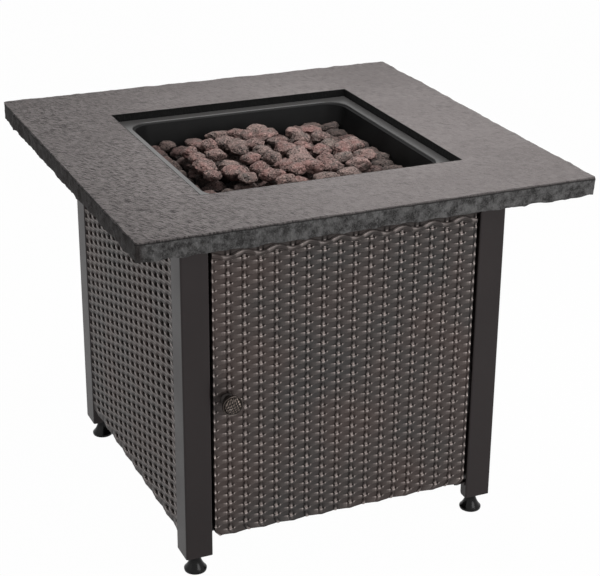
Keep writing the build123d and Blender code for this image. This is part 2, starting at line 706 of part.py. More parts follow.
def make_mixer_tube():
    end = MIXER_IN_BURNER - BURNER_R
    tube = rod_y(MIXER_R, MIXER_Y, end, 0, GAS_Z) - rod_y(MIXER_R - MIXER_WALL, MIXER_Y, end, 0, GAS_Z)
    near = MIXER_Y + (SHUTTER_LENGTH - AIR_WINDOW) / 2
    half = AIR_WINDOW_HEIGHT / 2
    return tube - slab(-2 * MIXER_R, 2 * MIXER_R, near, near + AIR_WINDOW, GAS_Z - half, GAS_Z + half)


def make_air_shutter():
    bore = MIXER_R + RUN_GAP
    end = MIXER_Y + SHUTTER_LENGTH
    ring = rod_y(bore + SHUTTER_WALL, MIXER_Y, end, 0, GAS_Z) - rod_y(bore, MIXER_Y, end, 0, GAS_Z)
    near = MIXER_Y + (SHUTTER_LENGTH - AIR_WINDOW) / 2
    half = AIR_WINDOW_HEIGHT / 2
    return ring - slab(-2 * bore, 2 * bore, near, near + AIR_WINDOW, GAS_Z - half, GAS_Z + half)


def make_probe(side, tip_radius):
    """Round probe through the bowl's wall with a thinner tip that ends beside the burner."""
    inner = BOWL_FRONT + PROBE_IN
    tip = -math.sqrt(BURNER_R**2 - PROBE_OFFSET**2) - PROBE_TIP_GAP
    x = side * PROBE_OFFSET
    return rod_y(PROBE_R, BOWL_FRONT - PROBE_OUT, inner, x, GAS_Z) + rod_y(tip_radius, inner, tip, x, GAS_Z)


def make_probe_plate():
    half = PROBE_OFFSET + PROBE_R + PROBE_PLATE_MARGIN
    rise = MIXER_R + PROBE_PLATE_MARGIN
    far = BOWL_FRONT - PROBE_PLATE_OUT
    plate = slab(-half, half, far - PROBE_PLATE_SHEET, far, GAS_Z - rise, GAS_Z + rise)
    plate = fillet(plate.edges().filter_by(Axis.Y), PROBE_PLATE_MARGIN)
    plate -= rod_y(MIXER_R + SEAT_GAP, far - MIXER_R, far + MIXER_R, 0, GAS_Z)
    for side in (-1, 1):
        plate -= rod_y(PROBE_R + SEAT_GAP, far - MIXER_R, far + MIXER_R, side * PROBE_OFFSET, GAS_Z)
    return plate


keep(make_burner(), "burner")
keep(make_burner_spacers(), "burner_spacers")
keep(make_mixer_tube(), "mixer_tube")
keep(make_air_shutter(), "air_shutter")
keep(make_probe(1, PROBE_TIP_R), "ignition_electrode")
keep(make_probe(-1, PROBE_R / 2), "thermocouple")
keep(make_probe_plate(), "electrode_bracket")


# Heat shield: plate hung under the bowl on four upturned feet, above the cylinder's valve
def make_heat_shield():
    under = FLOOR_Z - BOWL_SHEET
    low = under - SHIELD_DROP
    half = SHIELD_SIDE / 2
    shield = slab(-half, half, -half, half, low, low + SHIELD_SHEET)
    for sx in (-1, 1):
        for sy in (-1, 1):
            x = sx * (half - SHIELD_SHEET / 2)
            y = sy * (half - SHIELD_FOOT)
            shield += Pos(x, y, (low + under) / 2) * Box(SHIELD_SHEET, SHIELD_FOOT, SHIELD_DROP)
    return shield


keep(make_heat_shield(), "heat_shield")


# Gas controls: panel hung from the front rail, valve with push-and-turn knob, push-button igniter
RAIL_SHELF_LOW = FRAME_TOP - RAIL_SHEET


def make_control_panel():
    half = CONTROL_WIDTH / 2
    panel = slab(-half, half, CONTROL_Y, VALVE_Y, GAS_Z - CONTROL_DROP, RAIL_SHELF_LOW)
    flange_low = RAIL_SHELF_LOW - CONTROL_SHEET
    panel += slab(-half, half, VALVE_Y - CONTROL_FLANGE, VALVE_Y, flange_low, RAIL_SHELF_LOW)
    panel -= rod_y(STEM_R + STEM_SWAY, CONTROL_Y, VALVE_Y, 0, GAS_Z)
    return panel - rod_y(IGNITER_NECK_R + SEAT_GAP, CONTROL_Y, VALVE_Y, IGNITER_OFFSET, GAS_Z)


ROTOR_Y = VALVE_Y + VALVE_FACE


def make_valve_body():
    half = VALVE_SIDE / 2
    body = slab(-half, half, VALVE_Y, VALVE_END, GAS_Z - half, GAS_Z + half)
    body = chamfer(body.edges().filter_by(Axis.Y), VALVE_SIDE / 6)
    body -= rod_y(STEM_R + STEM_SWAY, VALVE_Y, ROTOR_Y, 0, GAS_Z)
    return body - rod_y(ROTOR_R + RUN_GAP, ROTOR_Y, ROTOR_Y + ROTOR_LENGTH + 2 * RUN_GAP, 0, GAS_Z)


def make_orifice_jet():
    jet = rod_y(JET_R, VALVE_END, MIXER_Y + JET_INSIDE, 0, GAS_Z)
    jet += hex_y(JET_HEX_R, VALVE_END, VALVE_END + JET_GAP / 2, 0, GAS_Z)
    return jet - rod_y(JET_BORE_R, VALVE_END, MIXER_Y + JET_INSIDE, 0, GAS_Z)


def make_inlet_fitting():
    """Flare fitting at the valve's left side, where the hose from the cylinder screws on."""
    side = -VALVE_SIDE / 2
    middle = VALVE_Y + VALVE_LENGTH / 2
    end = INLET_HEX_LENGTH + INLET_LENGTH
    bar = hex_y(INLET_HEX_R, 0, INLET_HEX_LENGTH, 0, 0) + rod_y(INLET_R, INLET_HEX_LENGTH, end, 0, 0)
    bar -= rod_y(INLET_BORE_R, INLET_HEX_LENGTH, end, 0, 0)
    return Pos(side, middle, GAS_Z) * Rot(0, 0, 90) * bar


def make_valve_rotor():
    rotor = rod_y(ROTOR_R, ROTOR_Y + RUN_GAP, ROTOR_Y + RUN_GAP + ROTOR_LENGTH, 0, GAS_Z)
    return rotor - rod_y(STEM_R + RUN_GAP, ROTOR_Y, ROTOR_Y + RUN_GAP + ROTOR_SOCKET, 0, GAS_Z)


KNOB_BACK = CONTROL_Y - CONTROL_KNOB_GAP
KNOB_FRONT = KNOB_BACK - CONTROL_KNOB_LENGTH


def make_valve_stem():
    end = ROTOR_Y + RUN_GAP + ROTOR_SOCKET - PUSH_TRAVEL - 2 * RUN_GAP
    return rod_y(STEM_R, KNOB_BACK - CONTROL_KNOB_GRIP, end, 0, GAS_Z)


def make_control_knob():
    knob = rod_y(CONTROL_KNOB_R, KNOB_FRONT, KNOB_BACK, 0, GAS_Z)
    knob = chamfer(knob.faces().sort_by(Axis.Y)[0].edges(), CONTROL_KNOB_BEVEL)
    half = CONTROL_KNOB_WING / 2
    shelf = KNOB_BACK - CONTROL_KNOB_SKIRT
    for x0, x1 in ((-CONTROL_KNOB_R, -half), (half, CONTROL_KNOB_R)):
        knob -= slab(x0, x1, KNOB_FRONT, shelf, GAS_Z - CONTROL_KNOB_R, GAS_Z + CONTROL_KNOB_R)
    return knob - rod_y(STEM_R + PIN_GAP, KNOB_BACK - CONTROL_KNOB_GRIP - PIN_GAP, KNOB_BACK, 0, GAS_Z)


NECK_FRONT = CONTROL_Y - IGNITER_NECK


def make_igniter_housing():
    x = IGNITER_OFFSET
    body = rod_y(IGNITER_R, VALVE_Y, VALVE_Y + IGNITER_LENGTH, x, GAS_Z)
    body += rod_y(IGNITER_NECK_R, NECK_FRONT, VALVE_Y, x, GAS_Z)
    well = NECK_FRONT + BUTTON_HELD + BUTTON_TRAVEL + RUN_GAP
    return body - rod_y(BUTTON_R + RUN_GAP, NECK_FRONT, well, x, GAS_Z)


def make_igniter_nut():
    nut = hex_y(IGNITER_NUT_R, CONTROL_Y - IGNITER_NUT_LENGTH, CONTROL_Y, IGNITER_OFFSET, GAS_Z)
    return nut - rod_y(IGNITER_NECK_R + PIN_GAP, NECK_FRONT, CONTROL_Y, IGNITER_OFFSET, GAS_Z)


def make_igniter_button():
    button = rod_y(BUTTON_R, NECK_FRONT - BUTTON_OUT, NECK_FRONT + BUTTON_HELD, IGNITER_OFFSET, GAS_Z)
    return fillet(button.faces().sort_by(Axis.Y)[0].edges(), BUTTON_R / 4)


keep(make_control_panel(), "control_panel")
keep(make_valve_body(), "valve_body")
keep(make_orifice_jet(), "orifice_jet")
keep(make_inlet_fitting(), "inlet_fitting")
keep(make_valve_rotor(), "valve_rotor")
keep(make_valve_stem(), "valve_stem")
keep(make_control_knob(), "control_knob")
keep(make_igniter_housing(), "igniter_housing")
keep(make_igniter_nut(), "igniter_nut")
keep(make_igniter_button(), "igniter_button")


# Screws: pan heads with plain shanks
def make_screw(reach):
    return rod_z(SCREW_HEAD_R, -SCREW_HEAD, 0, 0, 0) + rod_z(SCREW_R, 0, reach, 0, 0)


keep(Compound(children=[place * make_screw(SCREW_REACH) for place in panel_screw_places()]), "panel_screws")
keep(Compound(children=[place * Pos(0, 0, -RAIL_SHEET) * make_screw(MANTEL_SCREW_GRIP + RAIL_SHEET)
                        for place in mantel_screw_places()]), "mantel_screws")


# Lava rock: loose lumps in three layers, heaped to a low dome over the burner
def rock_dome(x, y):
    """Height of the heap's surface."""
    crown = FLANGE_TOP - ROCK_CROWN
    rim = FLANGE_TOP - ROCK_RIM
    away = min(1, math.hypot(x, y) / (MOUTH_SIDE / 2))
    return crown - (crown - rim) * away**ROCK_FLATNESS


def rock_lattice(draw):
    """Corners of the lumps: a jittered square grid on four surfaces, drawn in to fit the bowl."""
    steps = round(FLOOR_SIDE / ROCK_SIZE)
    points = {}
    for i in range(steps + 1):
        for j in range(steps + 1):
            u = 2 * i / steps - 1
            v = 2 * j / steps - 1
            edge_u = i in (0, steps)
            edge_v = j in (0, steps)
            if not (edge_u or edge_v):
                u += draw.uniform(-ROCK_JITTER, ROCK_JITTER) * 2 / steps
                v += draw.uniform(-ROCK_JITTER, ROCK_JITTER) * 2 / steps
            bed = BURNER_TOP + ROCK_OVER_BURNER + draw.uniform(0, ROCK_OVER_BURNER)
            dome = rock_dome(u * MOUTH_SIDE / 2, v * MOUTH_SIDE / 2)
            for k, z in enumerate((FLOOR_Z + ROCK_WALL_GAP, bed, min(bed + ROCK_LAYER, dome), dome)):
                half = bowl_half(z) - ROCK_WALL_GAP if k else FLOOR_SIDE / 2 - BOWL_BEND_R
                draw_in = 1 - (1 - math.sqrt(0.5)) * MOUTH_R / half if edge_u and edge_v else 1
                points[i, j, k] = Vector(u * half * draw_in, v * half * draw_in, z)
    return points, steps


ROCK_FACES = (
    ((0, 0, 0), (0, 1, 0), (1, 1, 0), (1, 0, 0)),
    ((0, 0, 1), (1, 0, 1), (1, 1, 1), (0, 1, 1)),
    ((0, 0, 0), (1, 0, 0), (1, 0, 1), (0, 0, 1)),
    ((0, 1, 0), (0, 1, 1), (1, 1, 1), (1, 1, 0)),
    ((0, 0, 0), (0, 0, 1), (0, 1, 1), (0, 1, 0)),
    ((1, 0, 0), (1, 1, 0), (1, 1, 1), (1, 0, 1)),
)


def make_rock(points, cell, draw):
    """One lump: a cell of the lattice, shrunk a little and tapered towards its top."""
    corners = {}
    for offset in [(a, b, c) for a in (0, 1) for b in (0, 1) for c in (0, 1)]:
        corners[offset] = points[cell[0] + offset[0], cell[1] + offset[1], cell[2] + offset[2]]
    centre = sum(corners.values(), Vector(0, 0, 0)) * (1 / len(corners))
    for offset, corner in corners.items():
        inward = centre - corner
        moved = corner + inward * ROCK_SHRINK
        if offset[2]:
            moved += Vector(inward.X, inward.Y, 0) * draw.uniform(*ROCK_TAPER)
        corners[offset] = moved
    faces = []
    for ring in ROCK_FACES:
        start = next(n for n in range(4) if (sum(cell) + sum(ring[n])) % 2 == 0)
        turn = [ring[(start + n) % 4] for n in range(4)]
        for triangle in ((turn[0], turn[1], turn[2]), (turn[0], turn[2], turn[3])):
            faces.append(Face(Wire.make_polygon([corners[corner] for corner in triangle], close=True)))
    return Solid(Shell(faces))


def hits_burner(corners):
    """Whether a lump of the lowest layer would reach the burner, its mixer tube or the probes."""
    xs = [corner.X for corner in corners]
    ys = [corner.Y for corner in corners]
    near_x = max(min(xs), -max(xs), 0)
    near_y = max(min(ys), -max(ys), 0)
    in_drum = math.hypot(near_x, near_y) < BURNER_R + ROCK_OVER_BURNER
    lane = PROBE_OFFSET + PROBE_R + ROCK_OVER_BURNER
    return in_drum or (near_x < lane and min(ys) < 0)


def make_lava_rocks():
    draw = random.Random(ROCK_SEED)
    points, steps = rock_lattice(draw)
    rocks = []
    for k in range(3):
        for i in range(steps):
            for j in range(steps):
                corners = [points[i + a, j + b, k + c] for a in (0, 1) for b in (0, 1) for c in (0, 1)]
                least = min(high.Z - low.Z for low, high in zip(corners[::2], corners[1::2]))
                if least < ROCK_LEAST or (k == 0 and hits_burner(corners)):
                    continue
                rocks.append(make_rock(points, (i, j, k), draw))
    return Compound(children=rocks)


keep(make_lava_rocks(), "lava_rocks")
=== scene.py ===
import json
import math
import random

import bpy
from mathutils import Matrix, Quaternion, Vector

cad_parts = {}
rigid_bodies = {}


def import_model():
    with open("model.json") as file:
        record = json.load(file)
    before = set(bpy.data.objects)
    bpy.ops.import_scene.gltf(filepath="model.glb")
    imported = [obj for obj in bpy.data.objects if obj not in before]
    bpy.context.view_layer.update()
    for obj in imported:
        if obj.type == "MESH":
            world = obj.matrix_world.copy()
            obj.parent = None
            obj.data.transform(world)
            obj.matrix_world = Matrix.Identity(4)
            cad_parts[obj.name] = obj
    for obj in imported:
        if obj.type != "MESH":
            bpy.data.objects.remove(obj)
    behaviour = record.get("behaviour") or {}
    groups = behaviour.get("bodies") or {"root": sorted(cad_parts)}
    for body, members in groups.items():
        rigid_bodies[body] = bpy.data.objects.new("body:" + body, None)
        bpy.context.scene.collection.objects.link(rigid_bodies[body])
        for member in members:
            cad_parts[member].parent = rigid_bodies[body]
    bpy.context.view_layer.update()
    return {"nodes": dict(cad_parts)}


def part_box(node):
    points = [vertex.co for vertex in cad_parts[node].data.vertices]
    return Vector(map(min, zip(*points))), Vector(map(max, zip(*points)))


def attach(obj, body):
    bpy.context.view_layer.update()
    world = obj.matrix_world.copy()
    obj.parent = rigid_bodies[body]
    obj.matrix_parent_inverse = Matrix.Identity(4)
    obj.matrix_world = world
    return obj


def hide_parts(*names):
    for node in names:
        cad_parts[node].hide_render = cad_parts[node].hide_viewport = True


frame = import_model()
nodes = frame["nodes"]


# Levelling feet: black moulded trumpets on threaded studs, which screw up into the legs' plugs.
# One foot is turned from its sole upwards, and each corner gets a copy on its own body.
class Value:
    """A shader socket that takes arithmetic, and grows the other nodes of its material."""

    def __init__(self, tree, socket=None):
        self.tree = tree
        self.socket = socket

    def node(self, kind, settings, sockets, output=0):
        made = self.tree.nodes.new("ShaderNode" + kind)
        for name, setting in settings.items():
            if name == "stops":
                ramp = made.color_ramp.elements
                while len(ramp) < len(setting):
                    ramp.new(1)
                for stop, (place, shade) in zip(ramp, setting):
                    stop.position = place
                    stop.color = (*shade, 1)
            else:
                setattr(made, name, setting)
        for name, value in sockets.items():
            if isinstance(value, Value):
                self.tree.links.new(value.socket, made.inputs[name])
            else:
                made.inputs[name].default_value = value
        return Value(self.tree, made.outputs[output])

    def math(self, operation, first, second=0.0):
        return self.node("Math", {"operation": operation}, {0: first, 1: second})

    def __add__(self, other):
        return self.math("ADD", self, other)

    def __sub__(self, other):
        return self.math("SUBTRACT", self, other)

    def __rsub__(self, other):
        return self.math("SUBTRACT", other, self)

    def __mul__(self, other):
        return self.math("MULTIPLY", self, other)

    def __abs__(self):
        return self.math("ABSOLUTE", self)

    __radd__ = __add__
    __rmul__ = __mul__


def new_finish(name, **constants):
    """A material whose even sockets are set, and the place that its pattern is drawn on."""
    finish = bpy.data.materials.new(name)
    finish.use_nodes = True
    shader = finish.node_tree.nodes["Principled BSDF"]
    for socket, value in constants.items():
        shader.inputs[socket.replace("_", " ")].default_value = value
    return finish, Value(finish.node_tree).node("TexCoord", {}, {}, "Object")


def lay_on(finish, **patterns):
    """Link what changes over the surface to the shader."""
    shader = finish.node_tree.nodes["Principled BSDF"]
    for socket, value in patterns.items():
        finish.node_tree.links.new(value.socket, shader.inputs[socket.replace("_", " ")])
    return finish


def cloud(place, scale, detail=3.0, rough=0.55):
    """Soft noise with so many spots to the metre."""
    return place.node("TexNoise", {}, {"Vector": place, "Scale": scale, "Detail": detail, "Roughness": rough})


def spread(value, low, high, start=0.0, end=1.0):
    """Stretch a range of a value to another range, with the ends held."""
    return value.node("MapRange", {}, {"Value": value, "From Min": low, "From Max": high,
                                       "To Min": start, "To Max": end})


def blend_colours(share, first, second):
    """Colour from the first to the second."""
    return share.node("Mix", {"data_type": "RGBA"}, {0: share, 6: first, 7: second}, 2)


def relief(height, depth, strength):
    """Surface relief of so many metres."""
    return height.node("Bump", {}, {"Height": height, "Distance": depth, "Strength": strength})


def moulded_plastic(name, shade, rough):
    """Moulded plastic with a faint grain and uneven gloss."""
    finish, place = new_finish(name, Specular_IOR_Level=0.2)
    patches = cloud(place, 60.0)
    dark = (*[0.8 * part for part in shade], 1)
    light = (*[1.2 * part for part in shade], 1)
    gloss = spread(patches, 0.3, 0.7, rough - 0.06, rough + 0.06)
    return lay_on(finish, Base_Color=blend_colours(patches, dark, light), Roughness=gloss,
                  Normal=relief(cloud(place, 1800.0), 0.0001, 0.5))


def let_go():
    """Nothing is selected, as before each new piece is added."""
    bpy.ops.object.select_all(action="DESELECT")


def take(first, *others):
    """Select these pieces alone, with the first as the active one."""
    let_go()
    for piece in (first, *others):
        piece.select_set(True)
    bpy.context.view_layer.objects.active = first


def settle(piece):
    """Put the piece's place into its mesh, with crisp edges and smooth rounds."""
    take(piece)
    bpy.ops.object.transform_apply(location=True, rotation=True, scale=True)
    bpy.ops.object.shade_smooth_by_angle(angle=crease)
    return piece


def copy_of(model, name):
    """A copy of a piece, with a mesh of its own."""
    twin = model.copy()
    twin.data = model.data.copy()
    twin.name = name
    bpy.context.scene.collection.objects.link(twin)
    return twin


def put_on(piece, finish, slot, body, *stood_for):
    """Give a piece its finish and its body, and hide the nodes it stands for."""
    piece.data.materials.clear()
    piece.data.materials.append(finish)
    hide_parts(*stood_for)
    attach(piece, body)


def coat_nodes(finish, *names):
    """Give CAD nodes that keep their shape a finish."""
    for name in names:
        nodes[name].data.materials.clear()
        nodes[name].data.materials.append(finish)


def leave_edit():
    """Back to object mode, with vertices as the kind that is picked next."""
    bpy.ops.mesh.select_mode(type="VERT")
    bpy.ops.object.mode_set(mode="OBJECT")


def draw_through(rings):
    """Draw the selected face on through rings of half width and height, the first of which is its own."""
    for (half, height), (next_half, next_height) in zip(rings, rings[1:]):
        bpy.ops.mesh.extrude_region_move(TRANSFORM_OT_translate={"value": (0, 0, next_height - height)})
        share = next_half / half
        bpy.ops.transform.resize(value=(share, share, 1), center_override=(0, 0, next_height))


def turn_up(name, rings, sides=64):
    """A turned solid: a disc drawn up from ring to ring of radius and height."""
    radius, height = rings[0]
    let_go()
    bpy.ops.mesh.primitive_circle_add(vertices=sides, radius=radius, fill_type="NGON",
                                      location=(0, 0, height))
    piece = bpy.context.object
    piece.name = name
    bpy.ops.object.transform_apply(location=True)
    bpy.ops.object.mode_set(mode="EDIT")
    draw_through(rings)
    bpy.ops.mesh.select_all(action="SELECT")
    bpy.ops.mesh.normals_make_consistent(inside=False)
    leave_edit()
    return piece


corners = ("front_left", "front_right", "rear_left", "rear_right")
crease = math.radians(36)
foot_low, foot_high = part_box("foot_front_left")
leg_foot_gap = 0.0003
foot_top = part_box("leg_front_left")[0].z - leg_foot_gap
rim_r = (foot_high.x - foot_low.x) / 2
rim_top = 0.0065
rim_round = 0.0012
sole_r = rim_r - 0.0022
neck_r = 0.0088
flare_steps = 10
flare_power = 2.2
collar_r = 0.0115
collar_low = foot_top - 0.005
collar_round = 0.0008
stud_r = 0.004
thread_pitch = 0.00125
thread_depth = 0.0006
thread_turns = 17
foot_rings = [(sole_r, 0.0), (rim_r - 0.0006, 0.0011), (rim_r, 0.0028), (rim_r, rim_top - rim_round),
              (rim_r - rim_round, rim_top)]
for step in range(1, flare_steps + 1):
    share = step / flare_steps
    foot_rings.append((neck_r + (rim_r - rim_round - neck_r) * (1 - share) ** flare_power,
                       rim_top + (collar_low - rim_top) * share))
foot_rings += [(collar_r - collar_round, collar_low), (collar_r, collar_low + collar_round),
               (collar_r, foot_top - collar_round), (collar_r - collar_round, foot_top), (stud_r, foot_top)]
for turn in range(1, thread_turns + 1):
    level = foot_top + turn * thread_pitch
    foot_rings += [(stud_r - thread_depth, level - thread_pitch / 2), (stud_r, level)]
foot_rings.append((stud_r - 0.0008, foot_high.z))

foot_plastic = moulded_plastic("foot_plastic", (0.004, 0.004, 0.004), 0.2)
first_foot = settle(turn_up("first_foot", foot_rings))
for corner in corners:
    low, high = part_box("foot_" + corner)
    middle = (low + high) / 2
    foot = copy_of(first_foot, "levelling_foot_" + corner)
    foot.data.transform(Matrix.Translation((middle.x, middle.y, 0)))
    put_on(foot, foot_plastic, "foot_plastic", "foot_" + corner, "foot_" + corner)
bpy.data.objects.remove(first_foot)
coat_nodes(foot_plastic, *["leg_plug_" + corner for corner in corners])


# Legs and rails: square steel tubes tied by folded angles, powder coated in a satin dark bronze.
# The coat has a fine orange peel and faint darker clouds, and no wear.
def bronze_coat():
    finish, place = new_finish("bronze_coat", Specular_IOR_Level=0.34, Specular_Tint=(1.0, 0.92, 0.92, 1))
    patches = cloud(place, 9.0, 5.0)
    colour = blend_colours(patches, (0.0124, 0.0094, 0.0096, 1), (0.02, 0.0156, 0.0154, 1))
    peel = cloud(place, 850.0, 2.0)
    return lay_on(finish, Base_Color=colour, Roughness=spread(patches, 0.25, 0.75, 0.3, 0.42),
                  Normal=relief(peel, 0.00025, 0.35))


bronze = bronze_coat()
coat_nodes(bronze, *["leg_" + corner for corner in corners])
coat_nodes(bronze, *[name for name in nodes if name.startswith(("top_rail", "base_rail"))])
coat_nodes(bronze, "base_plate", "tank_bolt_lug", "hinge_brackets", "control_panel")


# Woven-look panels: one pressed steel sheet a side, with strands that pass over and under upright stakes.
# The sheet is folded back round its rim into a tray, and coated in bronze.
# Where it stands proud it gets a painted highlight in a pale copper colour, and beside the stakes painted
# shade. In the side panels the stakes lie deep in open pits.
stake_pitch = 0.0272
strand_pitch = 0.0081
stake_r = 0.0025
sheet_metal = 0.0009
fold_back = 0.004
bend_reach = 0.0052
pinch_reach = 0.0068
strand_pinch = 0.36
side_pinch = 0.24
# strand_sheen is a painted sheen that alternates from strand to strand, as if each tilted towards or away
# from the light
strand_sheen = 0.05
# Sizes of the door's painted marks: the painted highlight over each stake and at its two wings, and the
# painted shadows in the gap and slit beside it
crest_reach = 0.0028
crest_wing = 0.0068
wing_reach = 0.0016
crest_gap = 0.0043
gap_reach = 0.0012
slit_place = 0.0032
slit_reach = 0.0016
# Pits in the side panels; pit_shade is the reach of the painted shade in them
pit_reach = 0.006
pit_shade = 0.0067
pit_depth = 0.006
pit_stake_r = 0.0016
pit_stake_rise = 0.0036
# rub sets how strong the painted highlights on the strands' top edges are; side_sheen is the painted
# highlight along the side panels' strands
highlight_gain = 0.48
side_sheen = 0.7
even_coat = 0.5
plain_section = ((0.05, 0.0), (0.95, 1.0))
close_section = ((0.05, 0.0), (0.6, 0.62), (0.95, 1.0))
stake_steps = (-0.31, -0.25, -0.195, -0.135, -0.088, -0.045, 0.045, 0.088, 0.135, 0.195, 0.25, 0.31, 0.5)
row_shift = 0.0034
rim_fade = 0.01
rim_proud = 0.0016
corner_round = 0.008
lip_wave = 0.0036
# The lip's levels: rise, roll and painted brightness, with a painted highlight along its rounded top edge
lip_section = ((-0.0086, 0.0, 0.35), (-0.0072, 0.0012, 0.48), (-0.0042, 0.0024, 0.52),
               (-0.0012, 0.002, 0.64), (0.0, 0.0002, 0.68))
lip_proud = 0.0012
lip_gap = 0.0004
level_gap = 0.00002
band_shares = (0.0, 0.4, 1.0)
band_rise = 0.0022
band_proud = -0.0006
tiny = 1e-5


def smooth_step(value):
    """Ease from 0 to 1."""
    held = max(0.0, min(1.0, value))
    return held * held * (3 - 2 * held)


def bump(off, reach, power=2):
    """1 in the middle and 0 well past the reach, with a flatter top the higher the power."""
    return math.exp(-(off / reach) ** power)


def weave(column, row, upper, swing, sunk):
    """How proud a strand or stake stands, how much painted highlight or painted shade its coat gets, and how
    tall it is.
    """
    stake = round(column)
    off = abs(column - stake) * stake_pitch
    bend = 0.45 * math.cos(math.pi * (column - stake)) + 0.55 * bump(off, bend_reach)
    pinch = (side_pinch if sunk else strand_pinch) * bump(off, pinch_reach)
    sheen_tilt = strand_sheen * math.sin(math.pi * (column - stake))
    # Strands over a stake: a painted highlight along their top edge, on the door over the stake and at its
    # wings, with a painted shadow in the gap
    if (stake + row) % 2:
        crest = side_sheen
        if not sunk:
            gap_shadow = 0.25 if column > stake else 0.75
            crest = max(bump(off, crest_reach), 0.85 * bump(off - crest_wing, wing_reach))
            crest -= gap_shadow * bump(off - crest_gap, gap_reach)
        return swing * bend, even_coat - sheen_tilt + highlight_gain * crest * upper ** 3, 1 - pinch
    # Side-panel pits: painted shade, with a painted highlight on the small stake inside and on the strands'
    # top edges
    if sunk and row:
        pit = bump(off, pit_reach, 6)
        core = bump(off, pit_stake_r, 4)
        shade = even_coat + sheen_tilt - 0.34 * bump(off, pit_shade, 6) + 0.22 * core
        shade += highlight_gain * side_sheen * upper ** 3 * (1 - pit)
        return -swing * bend - pit_depth * pit + pit_stake_rise * core, shade, 1 + pinch
    # Door stakes: a painted highlight low down that turns to painted shade at the top, under the strand above
    if not sunk and off < stake_r * (1 - 0.3 * upper):
        round_face = math.sqrt(1 - (off / stake_r) ** 2)
        return 0.0004 - 0.002 * (1 - round_face), 0.76 - 0.42 * upper, 1 + pinch
    # Strands under a stake: a painted shadow in the slit beside it
    slit_shadow = bump(off - slit_place, slit_reach)
    return -swing * bend, even_coat + sheen_tilt - 0.4 * slit_shadow * (1 - 0.6 * upper), 1 + pinch


def band_painted_light(column, share):
    """How the band behind the lip is painted: at each second stake a painted highlight between two painted
    shadows, with painted shade growing towards its top.
    """
    stake = round(column)
    off = abs(column - stake) * stake_pitch
    spot = bump(off, 0.0026) * (1 - share) ** 3
    slit_shadow = bump(off - 0.0042, 0.0018) * (1 - share)
    return 0.48 - 0.2 * share + (0.4 * spot - 0.48 * slit_shadow) * (stake % 2)


def thicken(piece, thickness):
    """Give the active piece the thickness of its sheet, inwards."""
    wall = piece.modifiers.new("sheet", "SOLIDIFY")
    wall.thickness = thickness
    wall.offset = -1
    bpy.ops.object.modifier_apply(modifier=wall.name)


def woven_sheet(name, half, low, high, front, back, section, swing, plain, painted_highlight, lip=()):
    """One sheet against the front: its face plane is at front, and its folded rim ends at back."""
    rows = round((high - low) / strand_pitch)
    pitch = (high - low) / rows
    stakes = round(2 * half / stake_pitch)
    places = [stake + step for stake in range(-1, stakes + 1) for step in stake_steps]
    places = [0.0] + [place for place in places if 0.01 < place < stakes - 0.01] + [float(stakes)]
    wide = len(places) - 1
    plain_levels = rows * len(section)
    tall = plain_levels + len(lip) + (len(band_shares) if lip else 0) - 1
    let_go()
    bpy.ops.mesh.primitive_grid_add(x_subdivisions=wide, y_subdivisions=tall, size=2)
    piece = bpy.context.object
    piece.name = name
    shine = piece.data.attributes.new("shine", "FLOAT", "POINT")
    rest = front + swing
    for spot in piece.data.vertices:
        column = places[round((spot.co.x + 1) / 2 * wide)]
        level = round((spot.co.y + 1) / 2 * tall)
        x = (column / stakes * 2 - 1) * half
        crest = high - lip_wave * (1 - math.cos(math.pi * column)) if lip else high
        if level < plain_levels:
            row, step = divmod(level, len(section))
            share, upper = section[step]
            proud, bright, height = weave(column, row, upper, swing, not lip)
            near_rim = 1 - smooth_step((half - abs(x)) / rim_fade)
            proud += (rim_proud - proud) * 0.7 * near_rim
            z = max(low, min(high, low + row_shift + (row + 0.5 + (share - 0.5) * height) * pitch))
            if level == 0:
                z = low
            if lip:
                z = min(z, crest + lip[0][0] - (plain_levels - level) * level_gap)
        elif level < plain_levels + len(lip):
            rise, roll, bright = lip[level - plain_levels]
            proud = lip_proud + roll
            # Painted sheen: one side of each wave of the lip is painted lighter and the other darker
            bright -= 0.1 * math.sin(math.pi * column) * math.cos(math.pi * round(column))
            z = crest + rise
        else:
            share = band_shares[level - plain_levels - len(lip)]
            proud, bright = band_proud, band_painted_light(column, share)
            z = crest + lip_gap + (high + band_rise - crest - lip_gap) * share
        # Below the even coat the stored value is painted shade, and above it painted highlight
        coat = plain / even_coat * min(bright, even_coat)
        shine.data[spot.index].value = coat + painted_highlight * max(0.0, bright - even_coat)
        near_corner = max(0.0, corner_round - (z - low)) if lip else 0.0
        inset = corner_round - math.sqrt(corner_round ** 2 - near_corner ** 2)
        spot.co = (x * (1 - inset / half), rest - proud, z)
    bpy.ops.object.mode_set(mode="EDIT")
    bpy.ops.mesh.select_mode(type="EDGE")
    bpy.ops.mesh.select_all(action="SELECT")
    bpy.ops.mesh.region_to_loop()
    bpy.ops.mesh.extrude_edges_move(TRANSFORM_OT_translate={"value": (0, fold_back, 0)})
    bpy.ops.transform.resize(value=(1, 0, 1), center_override=(0, back, 0))
    leave_edit()
    # The folded-back rim is painted near black, as painted shade
    for spot in piece.data.vertices:
        if spot.co.y > back - tiny:
            piece.data.attributes["shine"].data[spot.index].value = 0.1
    thicken(piece, sheet_metal)
    return settle(piece)


